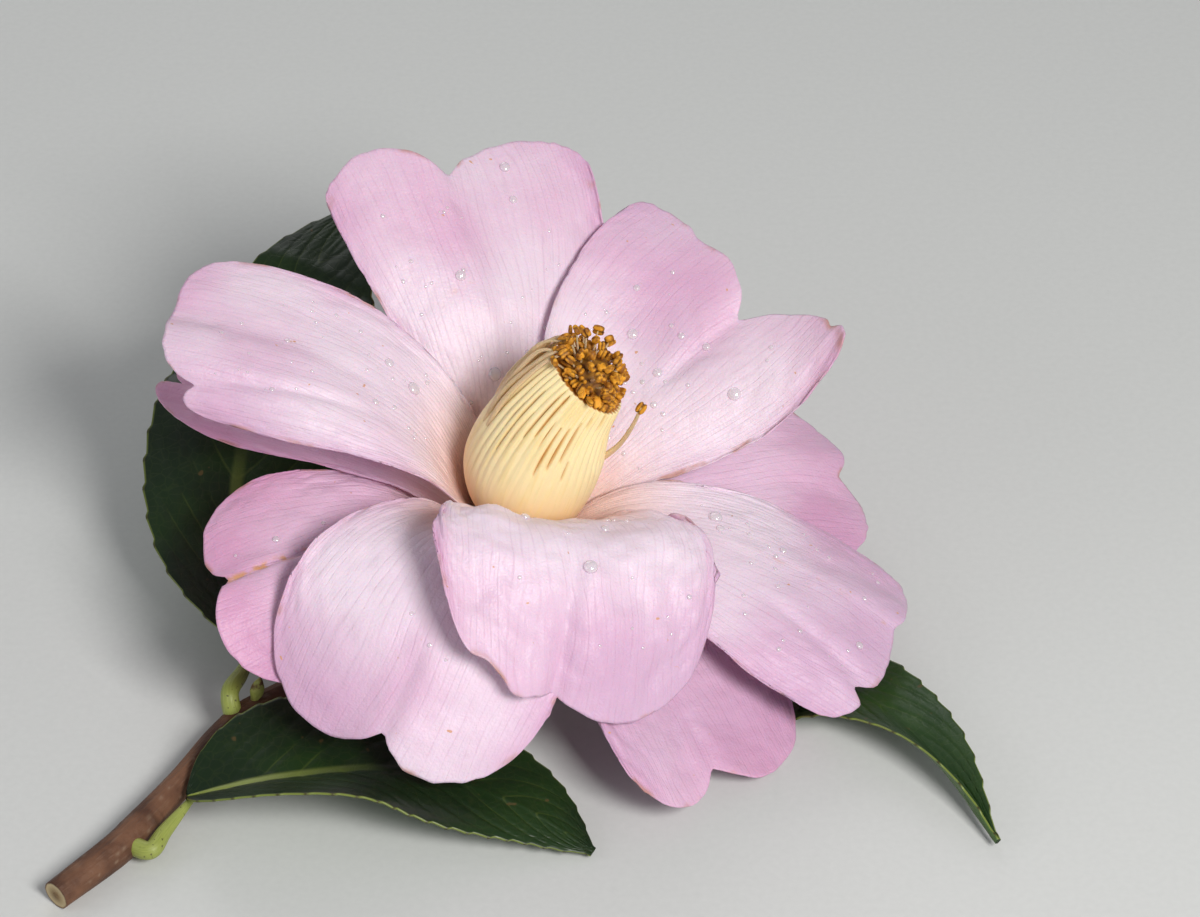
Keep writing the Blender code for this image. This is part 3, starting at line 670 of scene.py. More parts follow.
# Where a rim is bitten in: (where across it, half width, share of the length).
NICKS = {
    "petal_right": ((-0.66, 0.07, 0.05),),
    "petal_front": ((-0.66, 0.13, 0.05), (-0.35, 0.05, 0.015)),
    "petal_back": ((1.0, 0.3, 0.07),),
    "petal_back_right": ((0.5, 0.12, 0.02), (-0.75, 0.05, 0.02)),
}
RAGGED = 0.007  # how far the rim falls short here and there, as a share of the length
NICKS_ACROSS = 40  # values of that shortfall, from margin to margin
# For each crease: start and end as (s, t), its half width, its depth, and how bruised it is.
CREASES = {
    "petal_outer_left": (((0.55, -0.02), (1.0, 0.02), 0.035, 0.8, 2.2),),
    "petal_front": (((0.45, -0.06), (1.0, -0.2), 0.055, 1.1, 0.1),
                    ((0.5, 0.5), (0.85, 0.75), 0.05, 0.5, 0.0),
                    ((0.25, -0.75), (0.5, -0.95), 0.04, 0.4, 0.5)),
    "petal_front_left": (((0.7, 0.02), (1.0, 0.05), 0.06, 0.5, 0.0),),
    "petal_right": (((0.5, 0.05), (0.98, 0.0), 0.02, 0.1, 0.8),
                    ((0.55, -0.35), (1.0, -0.62), 0.05, 0.7, 0.0)),
    "petal_left": (((0.4, 0.35), (1.0, 0.68), 0.06, 0.8, 0.05),),
    "petal_back_right": (((0.55, -0.1), (1.0, -0.1), 0.09, 0.8, 0.0),),
    "petal_back": (((0.75, 0.03), (1.0, 0.05), 0.08, 0.5, 0.0),
                   ((0.5, 0.6), (0.6, 0.2), 0.02, 0.1, 0.5)),
    "petal_outer_front": (((0.75, 0.0), (1.0, 0.0), 0.05, 0.5, 0.1),),
}
creases, nicks = (sum(map(len, facts.values())) for facts in (CREASES, NICKS))
print(creases, "creases and", nicks, "nicks are described")


# %% Relief and creases
FLOOR_GAP = 0.03  # least height of a piece's underside above the surface


def refined(grid, rows, columns):
    """The grid's values on a smooth surface through them, at a finer spacing."""
    fine = along(grid, np.linspace(0, 1, rows))
    return along(fine.swapaxes(0, 1), np.linspace(0, 1, columns)).swapaxes(0, 1)


def above_floor(points, wall):
    """The same points, with none so low that half the wall would sink into the floor."""
    points[..., 2] = np.maximum(points[..., 2], wall / 2 + FLOOR_GAP)
    return points


def crease_strength(s, t, start, end, wide):
    """1 on the line from start to end, and 0 beside it and past its start."""
    d = np.array(end) - np.array(start)
    run = ((s - start[0]) * d[0] + (t - start[1]) * d[1]) / (d @ d)
    aside = (s - start[0] - run * d[0]) ** 2 + (t - start[1] - run * d[1]) ** 2
    return np.exp(-aside / wide**2) * unit_step(run * 3) * unit_step((1.3 - run) * 4)


def petal_relief(name, s, t, draw):
    """How far each point is lifted off the smooth blade, and how bruised it is."""
    crumple = CRUMPLE.get(name, 1.0)
    foot = unit_step(s * 4)
    lift = VEIN_RIB * np.sin(2 * pi * (13 * t + 0.6 * np.sin(5 * s + draw.uniform(0, 6)))) * foot
    for cells, height in RUMPLES:
        lift += crumple * height * refined(draw.uniform(-1, 1, cells), *s.shape) * foot
    around = np.arctan2(t, s - 0.35) / (2 * pi) + 0.5
    for count, height in FLUTES:
        wave = along(draw.uniform(-1, 1, count), around)
        lift += crumple * height * wave * rim_of(s, t) ** 2 * unit_step(s * 2)
    bruise = np.zeros_like(s)
    for start, end, wide, depth, stain in CREASES.get(name, ()):
        here = crease_strength(s, t, start, end, wide)
        lift -= depth * here
        bruise = np.maximum(bruise, stain * here)
    return lift, bruise


def petal_surface(name, petal, shape, ragged=0.0):
    """The petal's smooth blade in the part's frame, settled as its solid is, with a ragged rim."""
    s, t = sheet_parameters(*shape)
    shift = refined(settled[name] - unsettled[name], *shape)
    for across, wide, short in NICKS.get(name, ()):
        ragged = ragged + short * np.exp(-(((t - across) / wide) ** 2)) * unit_step(3 * s - 1)
    return s, t, bloom_to_world(petal_points(petal, s * (1 - ragged), t) + shift)


print("A fine petal has", PETAL_DETAIL[0] * PETAL_DETAIL[1], "points on each face")

# %% Make the petals
blades = {}
for number, (name, petal) in enumerate(PETALS.items()):
    draw = np.random.default_rng(number)
    nicks = along(draw.uniform(0, 1, NICKS_ACROSS), np.linspace(0, 1, PETAL_DETAIL[1])) * RAGGED
    s, t, smooth = petal_surface(name, petal, PETAL_DETAIL, nicks)
    lift, bruise = petal_relief(name, s, t, draw)
    points = above_floor(smooth + sheet_normals(smooth) * lift[..., None], PETAL_WALL)
    blades[name] = s, t, points
    blade = new_grid(name.replace("petal_", "") + "_petal", points, rim=rim_of(s, t), bruise=bruise)
    whorl = "outer" if "outer" in name else "inner"
    thicken(blade, PETAL_WALL, petal_faces[whorl], thin=0.5)
    hand_over(blade, "petal_pink", name)

# %% [markdown]
# ## Making round things
#
# A twig, a bud, a stalk and the column are all skins round a middle line. Each is a grid primitive
# whose two long sides meet and are merged, with its ends drawn together. That way its UV map runs
# round it and along it, and bark or ribs can follow.

# %% From a grid to a closed skin
def frames_along(middle):
    """At each point of a line: which way it goes, and two directions across that don't spin."""
    ahead = unit(np.gradient(middle, axis=0))
    across = [unit(np.cross(ahead[0], (0.3, 0.2, 1.0)))]
    for way in ahead[1:]:
        across.append(unit(across[-1] - across[-1] @ way * way))
    across = np.array(across)
    return ahead, across, np.cross(ahead, across)


def tube_points(middle, radius, sides, start=((0, 0),), end=((0, 0),)):
    """Rings of points round a line. start and end close it: rings as (share of radius, out in mm)."""
    ahead, across, up = frames_along(middle)
    angle = np.linspace(0, 2 * pi, sides + 1)[None, :, None]
    ring = across[:, None] * np.cos(angle) + up[:, None] * np.sin(angle)
    points = middle[:, None] + ring * np.broadcast_to(radius, (sides + 1, len(middle))).T[..., None]
    first = [middle[0] + (points[0] - middle[0]) * share - ahead[0] * out for share, out in start]
    last = [middle[-1] + (points[-1] - middle[-1]) * share + ahead[-1] * out for share, out in end]
    return np.concatenate([first, points, last[::-1]])


def wrap(skin, finish):
    """Merge the seam and the ends, so that the skin is one closed body, and smooth it."""
    skin.data.materials.append(finish)
    active(skin)
    bpy.ops.object.mode_set(mode="EDIT")
    bpy.ops.mesh.select_all(action="SELECT")
    bpy.ops.mesh.remove_doubles(threshold=1e-6)
    bpy.ops.mesh.fill_holes(sides=0)
    bpy.ops.mesh.normals_make_consistent(inside=False)
    bpy.ops.object.mode_set(mode="OBJECT")
    bpy.ops.object.shade_smooth()
    return skin


def joined(name, pieces):
    """Several pieces as one."""
    active(pieces[0])
    for piece in pieces:
        piece.select_set(True)
    bpy.ops.object.join()
    pieces[0].name = pieces[0].data.name = name
    return pieces[0]


# %% Round ends
DOME = ((0, 1.0), (0.38, 0.92), (0.7, 0.7), (0.92, 0.38))  # rings of a round end, for a radius of 1


def dome(radius):
    """The rings that close a tube of that radius with a round end."""
    return tuple((share, out * radius) for share, out in DOME)


print("The rings of a round end of 2 mm, as (share of radius, out in mm):", dome(2.0))

# %% [markdown]
# ## Leaves
#
# The leaves are leathery: dark, waxy green above, with a paler midrib and a net of sunken side
# veins, and duller yellow-green below. Each margin carries small teeth that hook towards the tip
# and end in a dark gland. Teeth could be cut out by a see-through picture, but they would have no
# edge to catch the light. So the blade is one sheet whose rim steps in and out, and its midrib and
# side veins are raised and sunk in the same sheet.

# %% The facts of the leaves
LEAF_TEETH = 20  # on each margin
LEAF_TOOTH = 0.5  # how far a tooth stands out
LEAF_WALL = 0.55
SIDE_VEINS = 9  # on each side of the midrib
LEAF_DETAIL = (241, 57)  # points from base to tip and from margin to margin


@dataclass
class Leaf:
    """One leaf, in the part's frame. A tuple gives a value at even steps from base to tip."""

    route: tuple  # points of the midrib
    petiole: tuple  # points of the stalk, from the twig to the blade
    half_width: tuple  # of the half on the left of the midrib and of the half on its right
    fold_left: tuple  # how far each half is raised, next to the midrib
    fold_right: tuple
    curl_left: tuple = (0, 0)  # further rise towards the margin
    curl_right: tuple = (0, 0)
    fullest: float = 0.8  # 1 puts the widest place in the middle, and less nearer the base


LEAVES = {
    "leaf_left": Leaf(
        route=((-41, -16, 7), (-45, 3, 14), (-43, 24, 23), (-36, 44, 31), (-24, 60, 37)),
        petiole=((-44.6, -26.9, 7.1), (-43.9, -25.5, 8.0), (-42.5, -20.5, 7.4), (-41, -15, 7.3)),
        half_width=(15.5, 18), fold_left=(15, 10, 5, 5), fold_right=(15, 10, 5, 5),
        curl_left=(0, -20, -20, 0), curl_right=(0, -20, -20, 0), fullest=0.95,
    ),
    "leaf_lower": Leaf(
        route=((-49, -45, 5), (-34, -44, 8), (-17, -42.5, 8), (-1, -46.5, 5.5), (11, -52.5, 1.2)),
        petiole=((-55.4, -53.5, 2.6), (-54, -53.8, 2.9), (-52, -50.5, 3.6), (-48.5, -45.5, 5)),
        half_width=(16, 12), fold_left=(20, 5, 0, 0), fold_right=(35, 30, 0, -10),
        fullest=0.68,
    ),
    "leaf_right": Leaf(
        route=((12, -6, 7), (30, -9, 5.5), (47, -18, 4.5), (60, -32, 4.4), (70.5, -51, 1.6)),
        petiole=((-4, -4.5, 6.8), (4, -5.5, 6.8), (13, -6.2, 7)),
        half_width=(9.5, 8), fold_left=(10, 5, 0, 10, 50), fold_right=(10, 5, -5, 40, 100),
    ),
}
print(len(LEAVES), "leaves are described")


# %% The leaf's blade
def leaf_points(leaf, s, t, tooth=0.0):
    """The points of the blade's middle at s, from base to tip, and t, from margin to margin."""
    here = along(leaf.route, s)
    tangent = unit(along(leaf.route, s + 0.01) - along(leaf.route, s - 0.01))
    left = unit(np.cross(np.array([0.0, 0.0, 1.0]), tangent))
    up = np.cross(tangent, left)
    side = np.abs(t)
    leftward = t > 0
    width = np.where(leftward, *leaf.half_width) * np.sin(pi * np.clip(s, 0, 1) ** leaf.fullest) ** 0.8
    width = np.maximum(width, 0.8) + tooth * np.sin(pi * s) ** 0.3
    fold = np.radians(np.where(leftward, along(leaf.fold_left, s), along(leaf.fold_right, s)))
    curl = np.radians(np.where(leftward, along(leaf.curl_left, s), along(leaf.curl_right, s)))
    out, rise = np.zeros_like(s), np.zeros_like(s)
    for k in range(ARC_STEPS):
        angle = fold + curl * side * (k + 0.5) / ARC_STEPS
        out += np.cos(angle) * side / ARC_STEPS
        rise += np.sin(angle) * side / ARC_STEPS
    out *= np.sign(t) * width
    return here + out[..., None] * left + (rise * width)[..., None] * up


# %% The leaf's teeth, veins and midrib
def teeth_of(s):
    """A tooth's height along the margin: it rises slowly and drops behind its forward point."""
    step = s * LEAF_TEETH % 1
    return np.where(step < 0.8, (step / 0.8) ** 1.5, (1 - step) / 0.2)


def leaf_relief(s, t):
    """The blade bulges between its side veins, and sinks beside its raised midrib."""
    side = np.abs(t)
    step = (s - 0.3 * side**1.3) * (SIDE_VEINS + 2) % 1
    groove = np.exp(-((np.minimum(step, 1 - step) / 0.13) ** 2))
    groove = groove * unit_step((1 - side) * 4) * unit_step(side * 6)
    finer = np.sin(70 * s + 9 * side) * np.sin(40 * t + 20 * s) * unit_step((1 - side) * 5)
    midrib = np.exp(-((t / 0.035) ** 2)) * (1 - 0.8 * s)
    return 0.03 * finer - 0.16 * groove * np.sin(pi * s) ** 0.5 + 0.35 * midrib


halfway = teeth_of(0.4 / LEAF_TEETH) * LEAF_TOOTH
print("Halfway along its back, a tooth stands out", halfway.round(2), "mm")

# %% The leaf finish
GLAND = (0.03, 0.015, 0.008)  # at the tip of a tooth
LEAF_SPECK = (0.10, 0.06, 0.02)


def leaf_finish(name, dark, light, rib, gloss):
    """dark and light are the blade's colours, rib the midrib's, and gloss the wax on it."""
    finish = Finish(name, Coat_Weight=gloss, Coat_Roughness=0.25, Specular_IOR_Level=0.35)
    u, v = finish.parts(finish.uv)
    side = abs(u * 2 - 1)
    lines = (v - side**1.3 * 0.3) * (SIDE_VEINS + 2)
    vein = abs((lines + 0.5) % 1.0 - 0.5).rise(0.07, 0.0) * side.rise(1.0, 0.6)
    values = {"Vector": finish.place, "Scale": 620.0}
    net = finish.add("ShaderNodeTexVoronoi", {"feature": "DISTANCE_TO_EDGE"}, values).rise(0.09, 0.0)
    cloud = finish.noise(finish.place, 70.0, 3.0)
    colour = finish.blend(cloud.rise(0.35, 0.7), dark, light)
    colour = finish.blend(vein * cloud.rise(0.4, 0.6) * 0.1 + net * 0.02, colour, rib)
    midrib = side.rise(0.09, 0.03) * v.rise(0.5, 0.1)
    colour = finish.blend(midrib * 0.8, colour, rib)
    # painted highlight: a thin line along the margin, in the midrib's lighter green
    edge = finish.value("rim")
    colour = finish.blend(edge.rise(0.9, 0.99) * 0.6, colour, rib)
    colour = finish.blend(finish.value("tooth"), colour, GLAND)
    specks = finish.noise(finish.place, 500.0, 1.0).rise(0.74, 0.8)
    colour = finish.blend(specks * 0.7, colour, LEAF_SPECK)
    return finish.paint(colour, 0.44 - cloud * 0.12, cloud * 0.6 - net * 0.08, 0.15)


# %% The leaves' finishes: old ones are dark, and the young one at the right is lighter and waxier
RIB = (0.30, 0.36, 0.07)
leaf_under = leaf_finish("leaf_under", (0.06, 0.12, 0.03), (0.09, 0.16, 0.045), (0.16, 0.24, 0.07), 0.05)
old_upper = leaf_finish("leaf_upper", (0.006, 0.018, 0.005), (0.013, 0.036, 0.007), RIB, 0.1)
young_upper = leaf_finish("young_leaf_upper", (0.016, 0.045, 0.010), (0.035, 0.08, 0.016), RIB, 0.25)
leaf_faces = {
    "leaf_left": (old_upper, leaf_under),
    "leaf_lower": (old_upper, leaf_under),
    "leaf_right": (young_upper, leaf_under),
}
print("Leaf finishes:", old_upper.name, young_upper.name, leaf_under.name)

# %% The stalks' finish
stalk_green = Finish("stalk_green", Coat_Weight=0.15, Coat_Roughness=0.35)
u, v = stalk_green.parts(stalk_green.uv)
grain = stalk_green.noise(stalk_green.vector(u * 40, v * 5), 1.0, 2.0)
specks = stalk_green.noise(stalk_green.place, 1400.0, 1.0).rise(0.66, 0.74)
colour = stalk_green.blend(grain, (0.22, 0.27, 0.04), (0.42, 0.46, 0.11))
colour = stalk_green.blend(specks * 0.8, colour, (0.05, 0.03, 0.015))
stalk_green.paint(colour, 0.55 - grain * 0.15, grain, 0.15)
print(stalk_green.material.name, "has", len(stalk_green.nodes), "nodes")

# %% The twig's middle line, where every stalk is rooted
# Both tuples run from the cut end to the calyx, at even steps.
TWIG = (
    (-67, -62.5, 2.4), (-58, -52, 2.7), (-50.5, -40, 3.3), (-43, -28, 4), (-36, -22.5, 5), (-22, -12, 5.3),
    (-11, -4.5, 5.4), (-5, -1, 6.8), (-2.9, -0.05, 9), (-2.47, 0, 10.75),
)
TWIG_RADII = (2.35, 2.6, 2.25, 2.45, 2.1, 2.0, 1.95, 2.0, 2.2, 2.5)
ROOT_DEPTH = 0.8  # how far in a stalk begins, as a share of the way to the twig's middle line


def rooted(route):
    """The same route, but begun inside the twig."""
    line = along(TWIG, np.linspace(0, 1, 400))
    start = np.array(route[0], float)
    nearest = line[np.argmin(((line - start) ** 2).sum(1))]
    return np.array([start + (nearest - start) * ROOT_DEPTH, *route[1:]])


for name, leaf in LEAVES.items():
    print("The stalk of", name, "begins at", rooted(leaf.petiole)[0].round(1))

# %% Make the leaves and their stalks
LEAF_GRID = (2 * LEAF_TEETH + 1, 5)  # the coarse points that are laid under the petals
STALK_GRID = (40, 24)  # rings along a stalk, and sides round it
STALK_TAPER = (1.5, 1.4, 1.3, 1.0, 0.5)  # a stalk's radius at even steps, from twig to blade
petals_over = [bloom_to_world(settled[name]) for name in PETALS]


def leaf_grid(rows, columns):
    """s and t of a leaf's points, at even steps."""
    return np.meshgrid(np.linspace(0, 1, rows), np.linspace(-1, 1, columns), indexing="ij")


for name, leaf in LEAVES.items():
    start = leaf_points(leaf, *leaf_grid(*LEAF_GRID))
    shift = refined(laid_under(start, petals_over) - start, *LEAF_DETAIL)
    s, t = leaf_grid(*LEAF_DETAIL)
    saw = teeth_of(s) * unit_step((np.abs(t) - 0.88) / 0.12)
    smooth = leaf_points(leaf, s, t, saw * LEAF_TOOTH) + shift + PLACE
    points = above_floor(smooth + sheet_normals(smooth) * leaf_relief(s, t)[..., None], LEAF_WALL)
    blade = new_grid(name + "_blade", points, rim=np.abs(t) ** 4, tooth=unit_step((saw - 0.7) * 4))
    thicken(blade, LEAF_WALL, leaf_faces[name], thin=0.5)
    hand_over(blade, "leaf_green", name)
    rows = np.linspace(0, 1, STALK_GRID[0])
    middle = along(rooted(leaf.petiole), rows) + PLACE
    skin = tube_points(middle, along(STALK_TAPER, rows), STALK_GRID[1], start=dome(0.7), end=dome(0.5))
    stalk = wrap(new_grid(name + "_stalk", skin), stalk_green.material)
    hand_over(stalk, "leaf_green", name)

# %% [markdown]
# ## The twig
#
# The twig is woody and brown, with bark that wrinkles lengthwise, pale breathing pores and a rough
# ring wherever a leaf or a bud once sat. Its cut end shows pale wood round a darker pith. A bevelled
# curve would give a plain rod, so the skin is made ring by ring, and the bark's relief is real shape
# on it, since the twig is seen close up and from the side.

# %% Bark
TWIG_SIDES = 48
TWIG_ROWS = 420
KNOTS = (0.125, 0.15, 0.17, 0.345, 0.36, 0.63)  # where leaves once sat, as shares of the length
PORES = 110
BARK_DEPTH = 0.1  # the skin starts this far inside, which leaves room for knots and pores
draw = np.random.default_rng(12)
rows = np.linspace(0, 1, TWIG_ROWS)
angle = np.linspace(0, 2 * pi, TWIG_SIDES + 1)[:, None]
radius = along(TWIG_RADII, rows) - BARK_DEPTH
bark = 0.03 * np.sin(9 * angle + 3 * np.sin(23 * rows)) + 0.025 * np.sin(17 * angle - 31 * rows)
bark = bark + 0.025 * np.sin(3 * angle + 60 * rows)
scar = np.zeros_like(bark)
for knot in KNOTS:
    turned = draw.uniform(0, 2 * pi)
    ring = np.exp(-(((rows - knot) / 0.006) ** 2))
    ring = ring + 0.6 * np.exp(-(((rows - knot - 0.012) / 0.003) ** 2))
    face = 0.15 + 0.85 * np.exp(-3 * (1 - np.cos(angle - turned)))
    scar = np.maximum(scar, ring * face)
pore = np.zeros_like(bark)
for _ in range(PORES):
    at, turned, size = draw.uniform(0.02, 0.95), draw.uniform(0, 2 * pi), draw.uniform(0.5, 1.1)
    along_it = ((rows - at) * 100 / (0.3 * size)) ** 2
    pore += np.exp(-along_it - (1 - np.cos(angle - turned)) * 300 / size)
radius = radius + bark + 0.2 * scar + 0.05 * np.minimum(pore, 1)
print("The bark stands out by up to", (radius - along(TWIG_RADII, rows)).max().round(2), "mm")

# %% The twig's skin, with its cut end
CUT = ((0, 0.0), (0.16, 0.03), (0.2, -0.02), (0.78, 0.0), (0.86, 0.02), (0.97, 0.0))
PITH_RINGS = 3  # of the cut end's rings, from the middle outwards
skin = above_floor(tube_points(along(TWIG, rows) + PLACE, radius, TWIG_SIDES, start=CUT), 0.0)


def ring_values(values):
    """Values on the skin's rings, with those of the end rings added."""
    return np.vstack([np.zeros((len(CUT), TWIG_SIDES + 1)), values.T, np.zeros((1, TWIG_SIDES + 1))])


cut = np.zeros((len(skin), TWIG_SIDES + 1))
cut[: len(CUT) - 1] = 1
pith = np.zeros_like(cut)
pith[:PITH_RINGS] = 1
print("The twig's skin has", skin[..., 0].size, "points")

# %% The twig's finish
bark_brown = Finish("bark_brown", Specular_IOR_Level=0.3)
u, v = bark_brown.parts(bark_brown.uv)
strands = bark_brown.noise(bark_brown.vector(u * 34, v * 30), 1.0, 3.0)
patch = bark_brown.noise(bark_brown.place, 160.0, 3.0)
colour = bark_brown.blend(patch.rise(0.35, 0.65), (0.085, 0.036, 0.021), (0.19, 0.09, 0.050))
colour = bark_brown.blend(strands.rise(0.55, 0.75) * 0.4, colour, (0.24, 0.15, 0.10))
colour = bark_brown.blend(bark_brown.value("pore") * 0.55, colour, (0.36, 0.26, 0.18))
colour = bark_brown.blend(bark_brown.value("scar") * 0.7, colour, (0.045, 0.02, 0.012))
colour = bark_brown.blend(bark_brown.value("cut"), colour, (0.55, 0.43, 0.24))
colour = bark_brown.blend(bark_brown.value("pith"), colour, (0.26, 0.16, 0.07))
fine = bark_brown.noise(bark_brown.place, 1500.0, 2.0)
bark_brown.paint(colour, 0.45 + fine * 0.25, strands + fine * 0.5, 0.22)
print(bark_brown.material.name, "has", len(bark_brown.nodes), "nodes")

# %% Make the twig
pore, scar = ring_values(np.minimum(pore, 1)), ring_values(scar)
twig = new_grid("woody_twig", skin, pore=pore, scar=scar, cut=cut, pith=pith)
hand_over(wrap(twig, bark_brown.material), "bark_brown", "twig")

# %% [markdown]
# ## The bud in the leaf's axil
#
# A camellia's bud is wrapped in scales that overlap like tiles. Small curved sheets could be set
# round it one by one, but they are under 2 mm long. So each scale is a raised, pointed patch of the
# bud's own skin, and the bud stays one closed body.

# %% The bud's form
BUD = (-39.6, -25.2, 9.0)  # its middle
BUD_RADIUS = 1.1
BUD_HALF_LENGTH = 2.1
BUD_TILT = 0.25  # in radians, towards +X
BUD_FORM = (0.7, 0.95, 1.05, 0.98, 0.75, 0.42, 0.05)  # shares of its radius, from foot to tip
BUD_GRID = (90, 41)  # rings from foot to tip, and points round each
SCALES = 5
rows = np.linspace(0, 1, BUD_GRID[0])
angle = np.linspace(0, 2 * pi, BUD_GRID[1])[:, None]
lean = np.array((np.sin(BUD_TILT), 0, np.cos(BUD_TILT)))
middle = np.array(BUD) + PLACE + np.linspace(-1, 0.97, BUD_GRID[0])[:, None] * lean * BUD_HALF_LENGTH
layers = np.zeros(BUD_GRID[::-1])
for k in range(SCALES):
    tip, facing = 0.95 - 0.17 * k, 2.4 * k
    edge = tip - 0.5 * (1 - np.cos(angle - facing))
    layers += unit_step((edge - rows) * 25)
STUB = ((0, 1.3), (0.75, 1.3), (0.9, 0.4))  # it joins the bud to the twig
radius = along(BUD_FORM, rows) * BUD_RADIUS * (0.86 + 0.045 * layers)
skin = tube_points(middle, radius, BUD_GRID[1] - 1, start=STUB, end=((0, 0.02),))
print("The bud is", (2 * radius.max()).round(1), "mm thick under", SCALES, "scales")

# %% The bud's finish, and the bud
bud_green = Finish("bud_green", Specular_IOR_Level=0.4)
u, v = bud_green.parts(bud_green.uv)
patch = bud_green.noise(bud_green.place, 900.0, 2.0)
colour = bud_green.blend(patch, (0.26, 0.30, 0.05), (0.46, 0.46, 0.13))
colour = bud_green.blend((patch + v * 0.4 - 0.3).rise(0.42, 0.62), colour, (0.13, 0.06, 0.02))
bud_green.paint(colour, 0.45 + patch * 0.2, patch, 0.1)
bud = new_grid("scaly_bud", skin)
hand_over(wrap(bud, bud_green.material), "bud_green", "axillary_bud")

# %% [markdown]
# ## The calyx
#
# Behind the petals a green cone carries them, with five blunt sepals laid round it like a cup. The
# cone could be spun from a drawn profile. As a closed skin it takes soft folds on the way, and the
# sepals are short petals, made by the same formula.

# %% The calyx's finish
calyx_green = Finish("calyx_green", Specular_IOR_Level=0.4)
u, v = calyx_green.parts(calyx_green.uv)
patch = calyx_green.noise(calyx_green.place, 300.0, 3.0)
colour = calyx_green.blend(patch, (0.10, 0.14, 0.03), (0.22, 0.26, 0.08))
edge = calyx_green.value("rim").rise(0.5, 1.0) * patch.rise(0.3, 0.6)
colour = calyx_green.blend(edge * 0.8, colour, (0.10, 0.05, 0.02))
calyx_green.paint(colour, 0.5 + patch * 0.2, patch, 0.3)
print(calyx_green.material.name, "has", len(calyx_green.nodes), "nodes")

# %% The cone that the petals are seated on
# Its profile, as (radius, height) in the bloom's own frame.
PROFILE = ((2.6, -9.0), (4.2, -7.6), (6.4, -5.2), (7.0, -3.4), (7.0, -2.6), (6.5, -0.9), (5.6, -0.4))
CONE_GRID = (60, 61)  # rings, and points round each
rows = np.linspace(0, 1, CONE_GRID[0])
angle = np.linspace(0, 2 * pi, CONE_GRID[1])[:, None]
radius, height = along(PROFILE, rows).T
radius = radius * (1 + 0.02 * np.sin(5 * angle) + 0.006 * np.sin(30 * angle))
height = np.repeat(height[:, None], CONE_GRID[1], 1)
skin = np.stack([(radius * np.cos(angle)).T, (radius * np.sin(angle)).T, height], -1)
ends = [np.repeat([[0, 0, PROFILE[k][1]]], CONE_GRID[1], 0) for k in (0, -1)]
skin = bloom_to_world(np.concatenate([ends[:1], skin, ends[1:]]))
cone = wrap(new_grid("petal_seat", skin), calyx_green.material)
hand_over(cone, "calyx_green", "calyx")

# %% The sepals
SEPAL_DETAIL = (40, 31)
SEPAL_WALL = 0.85
for name, sepal in SEPALS.items():
    s, t, points = petal_surface(name, sepal, SEPAL_DETAIL)
    points += sheet_normals(points) * (0.05 * np.sin(40 * t) + 0.2 * rim_of(s, t))[..., None]
    blade = new_grid(name + "_blade", points, rim=rim_of(s, t))
    thicken(blade, SEPAL_WALL, (calyx_green.material,), thin=0.35)
    hand_over(blade, "calyx_green", "calyx")

# %% [markdown]
# ## The stamens
#
# The stamens' stalks are fused into one smooth, cream barrel. Towards its top they come apart as
# rounded ribs with dark slits between, and a crowd of golden anthers closes it off. A hundred
# separate stalks would leave a hollow barrel, so ribs and slits are raised and sunk in one skin. The
# slits lie in the grooves between ribs, as on the real column.

# %% The ribs
RIBS = 42
COLUMN_ROWS = 150
COLUMN_SIDES = 360


def round_wave(draw, angle, counts):
    """A smooth seeded wave that closes on itself round the column."""
    return sum(draw.uniform(0.4, 1) / k * np.sin(k * angle + draw.uniform(0, 6)) for k in counts)


heights = np.linspace(0, 1, COLUMN_ROWS)
angle = np.linspace(0, 2 * pi, COLUMN_SIDES + 1)[:, None]
draw = np.random.default_rng(21)
wander = round_wave(draw, angle, (2, 3, 5, 8))
bow = 0.5 * np.sin(4 * heights + 3 * wander) + 0.8 * wander
phase = RIBS / 2 * angle + bow
ribs = np.abs(np.cos(phase))
grown = unit_step((heights - 0.32 - 0.1 * wander) / 0.55)
swell = 1 - 0.06 * (1 - ribs**0.7) * grown
swell = swell - 0.012 * round_wave(draw, angle, (7, 13, 19)) * unit_step(heights * 3)
print("The deepest groove takes", f"{1 - swell.min():.1%}", "of the column's radius")

# %% The slits between the ribs
SLITS = 56
slit = np.zeros_like(swell)
for _ in range(SLITS):
    groove, at, half = draw.integers(RIBS), draw.uniform(0.6, 1.0), draw.uniform(0.04, 0.14)
    off = (heights - at) / half
    wide = draw.uniform(0.006, 0.019) * np.sqrt(np.clip(1 - off**2, 1e-4, 1))
    aside = np.angle(np.exp(1j * (phase - (groove + 0.5) * pi) * 2 / RIBS))
    slit = np.maximum(slit, np.exp(-((aside / wide) ** 2)) * (np.abs(off) < 1))
swell = swell - 0.06 * slit
print("Slits take up", f"{(slit > 0.5).mean():.1%}", "of the column")

# %% The column's skin
CAP_SHARES = (0.93, 0.8, 0.5, 0.0)  # of the top ring's radius: rings that close the top
body = column_surface(angle, heights * COLUMN_TOP, swell).transpose(1, 0, 2)
middle = (column_surface(0.0, COLUMN_TOP) + column_surface(pi, COLUMN_TOP)) / 2
cap = [middle + (body[-1] - middle) * share for share in CAP_SHARES]
foot = [np.zeros((COLUMN_SIDES + 1, 3))]
skin = bloom_to_world(np.concatenate([foot, body, cap]))
# the cap's rings, under the anthers, get the slits' full painted shade
slit = np.vstack([0 * slit[:, :1].T, slit.T, np.ones((len(cap), COLUMN_SIDES + 1))])
height = np.clip(np.arange(-1, COLUMN_ROWS + len(cap)) / (COLUMN_ROWS - 1), 0, 1)[:, None] + 0 * slit
print("The column's top is at", middle.round(1), "in the bloom's frame")

